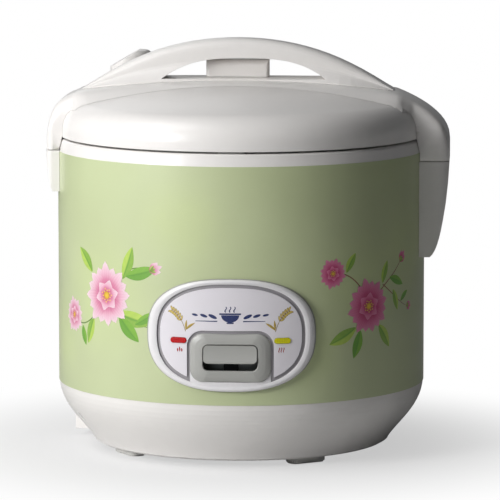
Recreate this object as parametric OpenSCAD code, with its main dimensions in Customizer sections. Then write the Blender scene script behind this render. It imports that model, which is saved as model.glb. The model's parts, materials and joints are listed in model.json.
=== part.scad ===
// Jar rice cooker: printed steel shell, domed lid with a carry handle, cook switch in front

/* [Body] */
// Outer radius of the sheet steel shell
shell_r = 130; // [126:1:136]
// Thickness of the shell's sheet
shell_t = 0.8; // [0.5:0.1:1.2]
// Height of the shell between the base and the collar
shell_h = 164; // [162:1:172]
// Height of the base bowl from its underside to the shell
base_h = 43; // [42:1:48]
// Inset of the base bowl's underside from the shell
base_inset = 27; // [25:1:30]
// Wall of the base bowl
base_wall = 2.5; // [2:0.25:3]
// Height of the white collar band above the shell
collar_h = 8.5; // [8:0.5:10]
// Height of the feet below the base bowl
foot_h = 5; // [4:0.5:8]
// Length of a foot along its circle
foot_l = 28; // [20:1:32]
// Width of a foot across its circle
foot_w = 13; // [10:1:14]
// Inset of the feet's circle from the edge of the underside
foot_inset = 13; // [12:0.5:15]
// Turn of the first foot from the front
foot_turn = 33; // [20:1:45]

/* [Cooking] */
// Air gap between the shell and the inner can
air_gap = 12.6; // [11.6:0.2:15]
// Height of the inner pot
pot_h = 130; // [126:1:132]
// Wall of the inner pot
pot_wall = 1.6; // [1.2:0.1:2.4]
// Radius of the pot's bottom corner
pot_corner_r = 19; // [14:1:24]
// Inset of the heating plate's edge from the pot's flat bottom
plate_inset = 4; // [2:0.5:10]
// Thickness of the heating plate
plate_t = 12; // [10:0.5:14]
// Inset of the heating element's ring from the plate's edge
element_inset = 26; // [22:1:38]
// Radius of the heating element's tube
element_r = 3.3; // [3:0.1:4]
// Thickness of the inner can's sheet
can_t = 0.6; // [0.5:0.1:1]
// Gap between the pot and the inner can
can_gap = 5; // [4:0.5:5.5]
// Height of the keep-warm band
band_h = 32; // [20:1:50]
// Radius of the sensor cup in the middle of the plate
sensor_r = 15.5; // [14:0.5:17]
// Travel of the sensor cup
sensor_travel = 2; // [1:0.25:2.5]
// Radius of the thermostat magnet
magnet_r = 9; // [7:0.5:10]

/* [Cook switch] */
// Angle the switch lever turns through when the button is pressed
lever_turn = 3.4; // [2:0.1:4]
// Width of the lever's strip
lever_w = 10; // [8:0.5:12]
// Thickness of the lever's strip
lever_t = 2; // [1.5:0.25:2.5]
// Distance of the lever's pivot in front of the magnet rod
pivot_reach = 62; // [58:1:66]
// Radius of the lever's pivot pin
pivot_pin_r = 2; // [1.5:0.25:2.5]
// Width of the cook button
button_w = 36.6; // [30:0.2:40]
// Height of the cook button
button_h = 12.4; // [10:0.2:13]

/* [Control panel] */
// Half-width of the panel's outer rim
panel_a = 58; // [56:1:62]
// Half-height of the panel's outer rim
panel_b = 39; // [37:0.5:41]
// Height of the panel's centre above the floor
panel_z = 96.6; // [95:0.2:100]
// Squareness of the panel's oval
panel_n = 2.5; // [2.2:0.1:3]
// Distance of each lamp lens from the panel's middle
lamp_x = 35.6; // [35:0.1:37.6]
// Length of a lamp lens
lens_l = 11.4; // [9:0.2:12]
// Height of a lamp lens
lens_h = 3.8; // [3:0.1:4.5]

/* [Lid] */
// Gap between the collar and the lid
lid_gap = 1.5; // [1:0.1:2]
// Inset of the lid's rim from the shell
lid_inset = 2; // [1:0.5:3]
// Rise of the lid's crown above its rim
lid_rise = 39; // [38:0.5:41]
// Height of the straight part of the lid's rim
lid_skirt_h = 5; // [4:0.5:8]
// Radius of the lid's shoulder
lid_shoulder_r = 20; // [16:1:22]
// Wall of the lid cover
lid_wall = 2.2; // [1.8:0.1:2.8]
// Inset of the aluminium inner lid from the pot's side
inner_lid_inset = 3; // [2:0.5:7]
// Angle the lid opens to
lid_turn = 95; // [80:1:100]
// Radius of the hinge pin
hinge_pin_r = 2.5; // [2:0.1:3]
// Distance of the hinge pin behind the lid's rim
hinge_reach = 6.5; // [6.5:0.5:9]
// Width of the hinge between its outer faces
hinge_w = 54; // [46:1:60]

/* [Carry handle] */
// Height of the handle's top above the lid's crown
handle_rise = 29.4; // [28:0.2:34]
// Depth of the handle's arch, front to back
handle_depth = 21; // [19:0.5:26]
// Depth of the deck under the grip, front to back
deck_depth = 36; // [32:1:40]
// Stand-off of the right shoulder from the shell
right_bulge = 17.8; // [14:0.5:20]
// Stand-off of the left shoulder from the shell
left_bulge = 6.2; // [5.4:0.2:10]
// Depth of the shoulders, front to back
shoulder_depth = 60; // [54:1:64]
// Half-length of the finger opening
grip_l = 58; // [52:1:60]
// Height of the finger opening
grip_h = 14.3; // [12:0.1:16]
// Bottom of the right side cover above the floor
right_cover_z = 138.5; // [125:0.5:150]
// Bottom of the left side cover above the floor
left_cover_z = 183.5; // [170:0.5:188]

/* [Lid release] */
// Width of the release button
release_w = 44.5; // [36:0.5:48]
// Height of the release button
release_h = 12.2; // [10:0.2:12.2]
// Depth of the release button, front to back
release_d = 14; // [12:0.5:14]
// Travel of the release button towards the rear
release_travel = 3.5; // [2.5:0.1:3.5]

/* [Steam vent] */
// Sideways place of the vent cap, to the left
vent_x = 82; // [78:1:86]
// Place of the vent cap behind the axis
vent_y = 45; // [42:1:50]
// Radius of the vent cap
vent_r = 15; // [13:0.5:16]
// Height of the vent cap above the lid
vent_h = 30.5; // [26:0.5:32]
// Height of the vent cap's low side above the lid
vent_low = 18.5; // [17:0.5:22]
// Slope of the vent cap's front cut
vent_slope = 30; // [15:1:35]
// Distance the vent cap lifts to come off
vent_lift = 24; // [15:1:30]

/* [Power inlet] */
// Angle of the power inlet from the front, to the left
inlet_turn = 110.5; // [108:0.5:116]
// Stand-off of the inlet's face from the edge of the underside
inlet_out = 20.5; // [19:0.5:24]
// Width of the inlet housing
inlet_w = 34; // [32:1:38]
// Height of the inlet housing
inlet_h = 27; // [25:1:32]

/* [Hidden] */

$fn = 96;

// Colours
white_plastic = [0.93, 0.93, 0.91];
shell_green = [0.74, 0.82, 0.58];
panel_grey = [0.66, 0.67, 0.66];
steel = [0.75, 0.76, 0.77];
aluminium = [0.84, 0.85, 0.86];
coating_black = [0.16, 0.16, 0.17];
dark_plastic = [0.12, 0.12, 0.13];

// Gaps between pieces
eps = 0.01;          // overlap of a cutting tool with the face it cuts
seat_gap = 0.1;      // between curved faces that seat on each other
part_gap = 0.3;      // between pieces that move apart
run_gap = 0.05;      // radial gap of a shaft in its bearing
slide_gap = 0.5;     // around a piece that slides in a slot
swing_gap = 0.6;     // around a piece that swings past another
hold_gap = 0.02;     // radial gap of a pin held in its bracket

// Levels, from the floor up
base_z = foot_h;
base_foot_r = shell_r - base_inset;
foot_ring_r = base_foot_r - foot_inset;
shell_z = base_z + base_h;
shell_top = shell_z + shell_h;
collar_top = shell_top + collar_h;
lid_z = collar_top + lid_gap;
crown_z = lid_z + lid_rise;
handle_top = crown_z + handle_rise;
can_r = shell_r - shell_t - air_gap;
pot_r = can_r - can_t - can_gap;
plate_r = pot_r - pot_corner_r - plate_inset;
element_ring_r = plate_r - element_inset;
lid_r = shell_r - lid_inset;
inner_lid_r = pot_r - inner_lid_inset;
pot_top = collar_top - 4;
pot_z = pot_top - pot_h;
plate_z = pot_z - plate_t;
can_z = plate_z - 10.5;

// Collar
collar_r0 = shell_r - 0.2;
collar_r1 = lid_r - 0.2;
collar_wall = 2.4;
ledge_top = pot_top - 2;
ledge_t = 2.3;
ledge_r = pot_r + 1.8;
well_r = pot_r + 9.2;

// Pot
pot_flange_r = pot_r + 3;
pot_flange_t = 1.5;

// Lid crown: a sphere that runs into the shoulder's ring
shoulder_c = [lid_r - lid_shoulder_r, lid_z + lid_skirt_h];
crown_drop = lid_rise - lid_skirt_h;
crown_r = (shoulder_c[0] * shoulder_c[0] + crown_drop * crown_drop
    - lid_shoulder_r * lid_shoulder_r) / (2 * (crown_drop - lid_shoulder_r));
crown_c = crown_z - crown_r;
crown_edge_r = crown_r * shoulder_c[0] / (crown_r - lid_shoulder_r);

// Hinge
hinge_y = lid_r + hinge_reach;
hinge_z = lid_z + 3;
hinge_hub_r = 6;
hinge_ear_t = 6;
hinge_arm_in = 9.5;
hinge_arm_out = hinge_w / 2 - hinge_ear_t - part_gap;

// Handle
deck_z = crown_z + 1.2;
arch_x = -2;
arch_l = shell_r - 18;
arch_end = arch_l - 2;
joint_z = lid_z + 31.85;
station = arch_l / 14;
ridge_z = crown_z + 0.2;
blend_front = 44;
blend_back = 28;
flank_sink = 1;
deck_window = 25;
grip_x = 2.5;
right_reach = shell_r + right_bulge;
left_reach = shell_r + left_bulge;
cover_seam = 0.6;
right_end_z = shell_top - 5.7;
left_end_z = shell_top + 1;

// Release latch
bar_z = lid_z + 6;
bar_t = 3;
bar_w = 14;
post_w = 12;
post_d = 6;
release_x = arch_x - 0.8;
release_y = 8;
hook_w = 18;
hook_t = 2.4;
hook_y = -(collar_r1 - 6.2);
nose_l = 2.3;
window_y = hook_y - nose_l - slide_gap;
spring_y = -46;

// Thermostat
cage_r = sensor_r + run_gap;
cage_wall = 1.3;
cage_z = can_z - 6;
cage_floor = 1.5;
cup_top = pot_z - part_gap;
cup_h = 10.2;
cup_wall = 1.2;
ferrite_r = sensor_r - cup_wall - 3.3;
ferrite_t = 5.4;
ferrite_z = cup_top - cup_wall - seat_gap - ferrite_t;
rod_r = 3.5;
magnet_travel = pivot_reach * lever_turn * PI / 180;
magnet_t = 6;
magnet_z = ferrite_z - sensor_travel - magnet_travel - part_gap - magnet_t;

// Cook lever, in its side view
pivot = [-pivot_reach, can_z - 8];
lever_hub_r = 4.5;
lever_foot_z = pivot[1] - 8;
fork_z = pivot[1] - 15;
leg_y = -(shell_r - 6.8);
fork_slack = 1.3;
switch_y = leg_y + 25.2;
button_z = panel_z - 12.6;
button_out = 5.4;
cheek_in = lever_w / 2 + 2.2;
cheek_t = 1.5;

// Panel layers, as radii from the body's axis
panel_back = shell_r + seat_gap;
panel_floor = shell_r + 2.1;
panel_face = shell_r + 3.3;
panel_rim = shell_r + 4;
window_a = panel_a - 12;
window_z0 = panel_z - 24.6;
window_z1 = panel_z + 4.4;
plate_a = panel_a - 9.3;
plate_b = panel_b - 6;
groove_a = panel_a - 7;
groove_b = panel_b - 3.6;
panel_belt = 7;
bezel_w = 55.4;
bezel_z0 = panel_z - 32;
bezel_z1 = panel_z + 1.4;
bezel_r = 9;
bezel_groove = 2;
bezel_crest = shell_r + 5.2;
lamp_z = panel_z - 3.6;
lamp_turn = asin(lamp_x / panel_face);
board_y = -(can_r + 2.2);
board_t = 1.6;
board_w = 88;
lamp_r = 2.2;

// Keep-warm band and fuse
band_z = plate_z + 40;
band_t = 1.6;

// Base
lip_h = 8;
bottom_r = base_foot_r - 24;
bottom_t = 1.5;
boss_r = 5;
boss_ring_r = bottom_r + boss_r;

// Power inlet
inlet_face = base_foot_r + inlet_out;
inlet_depth = 26;
socket_w = 25;
socket_h = 17;
socket_depth = 16;
socket_z = base_z + 13;

// Vent
tube_r = 9;
tube_wall = 1.4;
vent_base = crown_c + sqrt(crown_r * crown_r - pow(norm([vent_x, vent_y]) + vent_r, 2));

/* ---- helpers ---- */

function bezier(p, t) =
    pow(1 - t, 3) * p[0] + 3 * pow(1 - t, 2) * t * p[1]
    + 3 * (1 - t) * t * t * p[2] + pow(t, 3) * p[3];

function arc(c, r, a0, a1, steps) =
    [for (i = [0 : steps]) let (a = a0 + (a1 - a0) * i / steps) c + r * [cos(a), sin(a)]];

function unit(v) = v / norm(v);
function left_of(v) = [-v[1], v[0]];
function reversed(v) = [for (i = [len(v) - 1 : -1 : 0]) v[i]];

// Points beside a path, at a distance to its left, mitred at its corners
function beside(path, d) = [
    for (i = [0 : len(path) - 1])
    let (
        into = i == 0 ? unit(path[1] - path[0]) : unit(path[i] - path[i - 1]),
        out = i == len(path) - 1 ? into : unit(path[i + 1] - path[i]),
        mid = unit(left_of(into) + left_of(out))
    )
    path[i] + mid * d / (mid * left_of(out))
];

// Outline of a strip of even thickness along a path
function strip(path, t) = concat(beside(path, t / 2), reversed(beside(path, -t / 2)));

// Oval between an ellipse and a rectangle
function oval(a, b, n, steps = 72) = [
    for (i = [0 : steps - 1])
    let (u = cos(360 * i / steps), v = sin(360 * i / steps))
    [a * sign(u) * pow(abs(u), 2 / n), b * sign(v) * pow(abs(v), 2 / n)]
];

// Height of the lid's dome at a radius
function dome_z(r) = r < crown_edge_r
    ? crown_c + sqrt(crown_r * crown_r - r * r)
    : shoulder_c[1] + sqrt(max(0, pow(lid_shoulder_r, 2) - pow(r - shoulder_c[0], 2)));

// Fall of the dome per step outwards, at a radius
function dome_fall(r) = r < crown_edge_r
    ? r / sqrt(crown_r * crown_r - r * r)
    : (r - shoulder_c[0]) / sqrt(max(1, pow(lid_shoulder_r, 2) - pow(r - shoulder_c[0], 2)));

module ring(r_out, r_in, h) {
    difference() {
        cylinder(r = r_out, h = h);
        translate([0, 0, -1]) cylinder(r = r_in, h = h + 2);
    }
}

// Turns a shape drawn in X and Y to stand in X and Z, reaching from y0 to y1
module standing(y0, y1) {
    translate([0, y1, 0]) rotate([90, 0, 0]) linear_extrude(y1 - y0) children();
}

// Turns a shape drawn in Y and Z to reach from x0 to x1
module sideways(x0, x1) {
    translate([x0, 0, 0]) rotate([90, 0, 90]) linear_extrude(x1 - x0) children();
}

// Part of a ring on the body's front that lies behind a shape drawn in X and Z
module on_front(r_in, r_out) {
    intersection() {
        translate([0, 0, panel_z - panel_b - 5]) ring(r_out, r_in, 2 * panel_b + 10);
        standing(-r_out - 1, -r_in / 2) children();
    }
}

module rounded_rect(w, h, r) {
    for (x = [-1, 1], y = [-1, 1])
        translate([x * (w / 2 - r), y * (h / 2 - r)]) circle(r);
    square([w, h - 2 * r], center = true);
    square([w - 2 * r, h], center = true);
}

// Coil spring on the Z axis, as one swept tube
module coil(mean_r, wire_r, h, turns, steps = 16, sides = 6) {
    rings = turns * steps;
    rise = (h - 2 * wire_r) / rings;
    points = [
        for (i = [0 : rings], j = [0 : sides - 1])
        let (a = 360 * i / steps, b = 360 * j / sides, r = mean_r + wire_r * cos(b))
        [r * cos(a), r * sin(a), wire_r + rise * i + wire_r * sin(b)]
    ];
    walls = [
        for (i = [0 : rings - 1], j = [0 : sides - 1])
        let (k = (j + 1) % sides)
        [i * sides + j, (i + 1) * sides + j, (i + 1) * sides + k, i * sides + k]
    ];
    ends = [
        [for (j = [0 : sides - 1]) j],
        [for (j = [sides - 1 : -1 : 0]) rings * sides + j]
    ];
    polyhedron(points, concat(walls, ends), convexity = 10);
}

/* ---- body ---- */

module outer_shell() {
    color(shell_green)
    difference() {
        translate([0, 0, shell_z]) ring(shell_r, shell_r - shell_t, shell_h);
        standing(-shell_r - 1, 0) panel_window();
    }
}

module panel_window() {
    translate([0, (window_z0 + window_z1) / 2])
        rounded_rect(2 * window_a, window_z1 - window_z0, 5);
}

// Outline of the bowl, from its underside up to the shell
base_curve = [[base_foot_r + 2.5, base_z + 2.5], [base_foot_r + 9, base_z + 13],
    [shell_r - 1, base_z + 25], [shell_r - 0.4, shell_z]];

function bowl(inset) = [for (i = [0 : 14]) bezier(base_curve, i / 14) - [inset, 0]];

module base_tub() {
    floor_t = 2.5;
    color(white_plastic)
    difference() {
        union() {
            rotate_extrude() polygon(concat(
                [[bottom_r - 8, base_z + 2 + floor_t], [bottom_r - 8, base_z + 2],
                 [bottom_r + 0.4, base_z + 2], [bottom_r + 0.4, base_z],
                 [base_foot_r - 0.5, base_z], [base_foot_r + 2, base_z + 1.4]],
                bowl(0),
                [[shell_r - shell_t - 0.2, shell_z],
                 [shell_r - shell_t - 0.2, shell_z + lip_h],
                 [shell_r - shell_t - base_wall, shell_z + lip_h]],
                reversed(bowl(base_wall)),
                [[base_foot_r - 2, base_z + 2 + floor_t]]));
            for (a = [90, 210, 330]) rotate(a)
                translate([boss_ring_r, 0, base_z + floor_t])
                cylinder(r = boss_r, h = can_z - seat_gap - base_z - floor_t);
            base_switch_post();
        }
        inlet_block(0.2);
        each_foot() translate([0, 0, -base_z - 1]) cylinder(r = 3.1, h = 30);
    }
}

// Post on the base's floor that holds the switch under the lever
module base_switch_post() {
    post_top = lever_foot_z - 17;
    translate([-7, switch_y - 1, base_z + 2]) cube([14, 8, post_top - base_z - 2]);
    translate([-7, switch_y - 1, base_z + 2]) cube([14, -bottom_r + 8 - switch_y + 1, 2.5]);
}

module bottom_plate() {
    color(steel)
    difference() {
        translate([0, 0, base_z + 2 - seat_gap - bottom_t]) cylinder(r = bottom_r, h = bottom_t);
        for (a = [0 : 30 : 330]) rotate(a)
            translate([34, -2, 0]) cube([30, 4, base_z + 5]);
        cylinder(r = 16, h = base_z + 5);
    }
}

module each_foot() {
    for (a = [0 : 90 : 270])
        rotate(foot_turn - 90 + a) translate([foot_ring_r, 0, base_z]) children();
}

module feet() {
    color([0.85, 0.85, 0.83])
    each_foot() {
        translate([0, 0, -foot_h + 1]) linear_extrude(foot_h - 1) rounded_rect(foot_w, foot_l, 5);
        translate([0, 0, -foot_h]) linear_extrude(1) rounded_rect(foot_w - 2, foot_l - 2, 4);
        cylinder(r = 3, h = 3.4);
    }
}

module collar() {
    color(white_plastic)
    difference() {
        rotate_extrude() polygon([
            [collar_r0, shell_top], [collar_r1 + 0.6, collar_top - 1.2],
            [collar_r1 - 0.6, collar_top], [well_r + 0.6, collar_top],
            [well_r, collar_top - 0.6], [well_r - 0.8, ledge_top],
            [ledge_r, ledge_top], [ledge_r, ledge_top - 7.5],
            [ledge_r + 2, ledge_top - 7.5], [ledge_r + 2, ledge_top - ledge_t],
            [well_r + 1.7, ledge_top - ledge_t], [well_r + 2.4, collar_top - 2.4],
            [collar_r1 - collar_wall, collar_top - 2.4],
            [shell_r - shell_t - 2.6, shell_top], [shell_r - shell_t - 2.6, shell_top - 10],
            [shell_r - shell_t - 0.2, shell_top - 10], [shell_r - shell_t - 0.2, shell_top]]);
        translate([-hook_w / 2 - 2, window_y, ledge_top])
            cube([hook_w + 4, -window_y - pot_flange_r - 0.8, 20]);
    }
}

/* ---- side covers ---- */

// Side view of a cover: the outer edge falls inwards to a rounded foot
function cover_outline(reach, top, foot) =
    let (bulge = reach - shell_r, h = top - foot)
    concat(
        [[0, top], [reach, top], [reach - 0.05 * bulge, top - 0.22 * h]],
        [for (t = [0 : 0.125 : 1]) bezier([
            [reach - 0.13 * bulge, top - 0.42 * h], [reach - 0.30 * bulge, top - 0.72 * h],
            [reach - 0.45 * bulge, foot + 0.06 * h], [shell_r + 0.24 * bulge, foot]], t)],
        [[0, foot]]);

module side_cover(reach, top, foot) {
    d = shoulder_depth / 2;
    bulge = reach - shell_r;
    color(white_plastic)
    difference() {
        intersection() {
            standing(-d, d) polygon(cover_outline(reach, top, foot));
            linear_extrude(top) difference() {
                shoulder_plan(reach);
                circle(shell_r + seat_gap);
            }
        }
        // hollow behind the outer wall
        translate([shell_r - 4, -d + 3, foot + 0.3 * (top - foot)])
            cube([4 + bulge * 0.45, 2 * d - 6, 0.55 * (top - foot)]);
    }
}

// Radius of a shoulder's outer corners in plan
function shoulder_corner(reach) = min(8, 0.6 * (reach - shell_r) + 1);

// Plan of a shoulder: square to the body, round at its outer corners
module shoulder_plan(reach) {
    d = shoulder_depth / 2;
    r = shoulder_corner(reach);
    translate([shell_r / 2, -d]) square([reach - r - shell_r / 2, 2 * d]);
    translate([shell_r / 2, -d + r]) square([reach - shell_r / 2, 2 * d - 2 * r]);
    for (y = [-1, 1]) translate([reach - r, y * (d - r)]) circle(r);
}

module right_side_cover() {
    side_cover(right_reach, right_end_z - cover_seam, right_cover_z);
}

module left_side_cover() {
    mirror([1, 0, 0]) side_cover(left_reach, left_end_z - cover_seam, left_cover_z);
}

/* ---- heater and pot ---- */

module inner_can() {
    rim = ledge_top - ledge_t - seat_gap;
    color(steel)
    difference() {
        union() {
            translate([0, 0, can_z]) cylinder(r = can_r, h = rim - can_z);
            translate([0, 0, rim - can_t]) cylinder(r = can_r + 3.5, h = can_t);
        }
        translate([0, 0, can_z + can_t]) cylinder(r = can_r - can_t, h = rim);
        translate([0, 0, can_z - 1]) cylinder(r = 34, h = 10);
    }
}

module keep_warm_band() {
    color([0.55, 0.57, 0.6])
    difference() {
        translate([0, 0, band_z]) ring(can_r + seat_gap + band_t, can_r + seat_gap, band_h);
        rotate(140) translate([0, -4, band_z - 1]) cube([can_r + 10, 8, band_h + 2]);
    }
}

module heating_plate() {
    color(aluminium)
    difference() {
        rotate_extrude() polygon([
            [cage_r + cage_wall + 0.3, plate_z], [plate_r - 6, plate_z],
            [plate_r, plate_z + 5], [plate_r, pot_z - 1], [plate_r - 1, pot_z],
            [cage_r + cage_wall + 0.3, pot_z]]);
        rotate_extrude() translate([element_ring_r, plate_z - 0.6]) circle(element_r + 0.2);
    }
}

module heating_element() {
    lead_h = 8;
    lead_turn = 3;
    color([0.5, 0.5, 0.52]) {
        rotate(-60) rotate_extrude(angle = 300)
            translate([element_ring_r, plate_z - 0.6]) circle(element_r);
        for (a = [-60 + lead_turn, 240 - lead_turn]) rotate(a)
            translate([element_ring_r, 0, plate_z - 0.6 - lead_h])
            cylinder(r = element_r - 1.2, h = lead_h);
    }
}

module plate_supports() {
    support_ring_r = plate_r - 12;
    color(steel)
    for (a = [30 : 120 : 270]) rotate(a)
        translate([support_ring_r, 0, can_z + can_t])
        cylinder(r = 4, h = plate_z - can_z - can_t);
}

module thermal_fuse() {
    color([0.9, 0.9, 0.86])
    rotate(60) translate([42, -12, plate_z - 2.6 - seat_gap])
        rotate([-90, 0, 0]) cylinder(r = 2.6, h = 24);
}

module thermostat_cage() {
    color(steel)
    rotate_extrude() polygon([
        [rod_r + run_gap, cage_z], [cage_r + cage_wall, cage_z],
        [cage_r + cage_wall, plate_z - 1.5 - seat_gap], [cage_r + 6, plate_z - 1.5 - seat_gap],
        [cage_r + 6, plate_z - seat_gap], [cage_r + cage_wall, plate_z - seat_gap],
        [cage_r + cage_wall, pot_z - 2], [cage_r, pot_z - 2],
        [cage_r, cage_z + cage_floor], [rod_r + run_gap, cage_z + cage_floor]]);
}

module sensor_cup() {
    color(aluminium)
    translate([0, 0, cup_top - cup_h])
    difference() {
        cylinder(r = sensor_r, h = cup_h);
        translate([0, 0, -1]) cylinder(r = sensor_r - cup_wall, h = cup_h - cup_wall + 1);
    }
}

module sensor_ferrite() {
    color([0.25, 0.25, 0.27])
    translate([0, 0, ferrite_z]) cylinder(r = ferrite_r, h = ferrite_t);
}

module sensor_spring() {
    wire = 0.6;
    color(steel)
    translate([0, 0, cage_z + cage_floor + seat_gap])
        coil(sensor_r - wire - 0.2, wire, cup_top - cup_h - cage_z - cage_floor - 2 * seat_gap, 6);
}

module magnet_rod() {
    collar_z = fork_z + lever_t / 2 + swing_gap;
    head_z = fork_z - lever_t / 2 - swing_gap - 2;
    color([0.35, 0.35, 0.37]) {
        translate([0, 0, magnet_z]) cylinder(r = magnet_r, h = magnet_t);
        translate([0, 0, head_z]) cylinder(r = rod_r, h = magnet_z - head_z);
        translate([0, 0, collar_z]) cylinder(r = rod_r + 2, h = 2);
        translate([0, 0, head_z]) cylinder(r = rod_r + 2, h = 2);
    }
}

module magnet_spring() {
    wire = 0.5;
    color(steel)
    translate([0, 0, magnet_z + magnet_t + seat_gap])
        coil(5, wire, ferrite_z - magnet_z - magnet_t - 2 * seat_gap, 3);
}

// Outline of the pot from its bottom's middle up its side, drawn in by a wall
function pot_outline(inset) =
    let (r = pot_r - inset, corner = pot_corner_r - inset)
    concat([[0, pot_z + inset]],
        arc([r - corner, pot_z + pot_corner_r], corner, -90, 0, 12));

module inner_pot() {
    color(coating_black)
    rotate_extrude() polygon(concat(
        pot_outline(0),
        [[pot_r, pot_top - pot_flange_t], [pot_flange_r, pot_top - pot_flange_t],
         [pot_flange_r, pot_top], [pot_r - pot_wall, pot_top]],
        reversed(pot_outline(pot_wall))));
}

/* ---- cook switch ---- */

lever_path = [
    [leg_y, button_z + 4], [leg_y, lever_foot_z + 8], [leg_y + 8, lever_foot_z],
    [pivot[0] - 9, lever_foot_z], [pivot[0] - 2, lever_foot_z + 5],
    [pivot[0] + 2, lever_foot_z + 5], [pivot[0] + 22, fork_z], [rod_r + 2, fork_z]
];

module cook_lever() {
    color(steel)
    difference() {
        union() {
            sideways(-lever_w / 2, lever_w / 2) polygon(strip(lever_path, lever_t));
            translate([-cheek_in + swing_gap, pivot[0], pivot[1]]) rotate([0, 90, 0])
                cylinder(r = lever_hub_r, h = 2 * (cheek_in - swing_gap));
        }
        translate([-20, pivot[0], pivot[1]]) rotate([0, 90, 0])
            cylinder(r = pivot_pin_r + run_gap, h = 40);
        // slot of the fork, open at its end, with room for the lever's swing
        translate([0, -fork_slack, fork_z - 5]) cylinder(r = rod_r + slide_gap, h = 10);
        translate([-rod_r - slide_gap, -fork_slack, fork_z - 5])
            cube([2 * (rod_r + slide_gap), 20, 10]);
    }
}

module lever_bracket() {
    top = can_z - seat_gap;
    color(steel)
    difference() {
        translate([-cheek_in - cheek_t, pivot[0] - 7, pivot[1] - 6])
            cube([2 * (cheek_in + cheek_t), 14, top - pivot[1] + 6]);
        translate([-cheek_in, pivot[0] - 8, pivot[1] - 7])
            cube([2 * cheek_in, 16, top - pivot[1] + 7 - cheek_t]);
        translate([-20, pivot[0], pivot[1]]) rotate([0, 90, 0])
            cylinder(r = pivot_pin_r + hold_gap, h = 40);
    }
}

module lever_pin() {
    reach = cheek_in + cheek_t;
    color([0.6, 0.6, 0.62])
    translate([0, pivot[0], pivot[1]]) rotate([0, 90, 0]) {
        translate([0, 0, -reach - 0.6]) cylinder(r = pivot_pin_r, h = 2 * reach + 1.2);
        for (z = [-reach - 1.6, reach + 0.1])
            translate([0, 0, z]) cylinder(r = pivot_pin_r + 1.2, h = 1.5);
    }
}

module cook_button() {
    face_y = -(shell_r + button_out);
    color(panel_grey)
    difference() {
        union() {
            translate([0, 0, button_z]) standing(face_y, -(shell_r - shell_t) + 1.2)
                rounded_rect(button_w, button_h, 3);
            translate([-6, -(shell_r - shell_t), button_z - 3.5])
                cube([12, shell_r - shell_t + leg_y + lever_t / 2 + 1.5, 7]);
        }
        // pocket that takes the lever's leg
        translate([-lever_w / 2 - seat_gap, leg_y - lever_t / 2 - seat_gap, button_z - 20])
            cube([lever_w + 2 * seat_gap, lever_t + 2 * seat_gap, 40]);
        // scoop in the face
        translate([0, face_y - 16.4, button_z + 1]) rotate([0, 90, 0])
            cylinder(r = 17.4, h = button_w + 2, center = true);
    }
}

module micro_switch() {
    top = lever_foot_z - lever_t / 2;
    dip = (-switch_y - pivot_reach) * lever_turn * PI / 180;
    color(dark_plastic) {
        translate([-10, switch_y, lever_foot_z - 17 + seat_gap]) cube([20, 6.4, 10]);
        translate([-1.5, switch_y + 1.5, lever_foot_z - 8])
            cube([3, 3, top - dip - 2 * part_gap - lever_foot_z + 8]);
    }
}

/* ---- control panel ---- */

module panel_shape(a, b) {
    translate([0, panel_z]) polygon(oval(a, b, panel_n));
}

// Outline of the grey dish round the button
module bezel_shape(grow) {
    translate([0, (bezel_z0 + bezel_z1) / 2])
        rounded_rect(bezel_w + 2 * grow, bezel_z1 - bezel_z0 + 2 * grow, 9 + grow);
}

// Field of the panel that is sunk below the rim: an oval, cut off at both sides of the dish
module field_shape(a, b, grow) {
    difference() {
        panel_shape(a, b);
        translate([-bezel_w / 2 - grow, 0]) square([bezel_w + 2 * grow, panel_z - 16]);
    }
}

module button_slot(grow) {
    down = button_h / 2 + 4.7;
    translate([0, button_z - down + (down + button_h / 2) / 2])
        rounded_rect(button_w + 2 * grow, button_h / 2 + down + 2 * grow, 3.4);
}

module lens_prism(turn, r_in, r_out, grow) {
    rotate([0, 0, turn]) intersection() {
        translate([0, 0, lamp_z]) standing(-r_out - 2, -r_in + 2)
            rounded_rect(lens_l + 2 * grow, lens_h + 2 * grow, lens_h / 2 + grow - eps);
        translate([0, 0, lamp_z - 10]) ring(r_out, r_in, 20);
    }
}

// Closed belt on the body's front, swept round two matching outlines drawn in X and Z.
// The section gives a share of the way inwards and a radius from the body's axis.
module belt(outer, inner, section) {
    n = len(outer);
    m = len(section);
    points = [
        for (i = [0 : n - 1], s = section)
        let (p = outer[i] * (1 - s[0]) + inner[i] * s[0])
        [p[0], -sqrt(s[1] * s[1] - p[0] * p[0]), p[1]]
    ];
    polyhedron(points, [
        for (i = [0 : n - 1], j = [0 : m - 1])
        let (a = i * m + j, b = i * m + (j + 1) % m, c = (i + 1) % n * m + j,
            d = (i + 1) % n * m + (j + 1) % m)
        each [[a, b, c], [b, d, c]]
    ], convexity = 8);
}

// Outline of a rounded rectangle about a height, with a given number of points a corner
function rect_line(w, z0, z1, r, steps = 7) = [
    for (k = [0 : 3], i = [0 : steps])
    let (
        a = 90 * k + 90 * i / steps,
        x = k == 0 || k == 3 ? w / 2 - r : r - w / 2,
        z = k < 2 ? z1 - r : z0 + r
    )
    [x + r * cos(a), z + r * sin(a)]
];

function panel_line(inset) =
    [for (p = oval(panel_a - inset, panel_b - 0.514 * inset, panel_n)) [p[0], p[1] + panel_z]];

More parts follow.
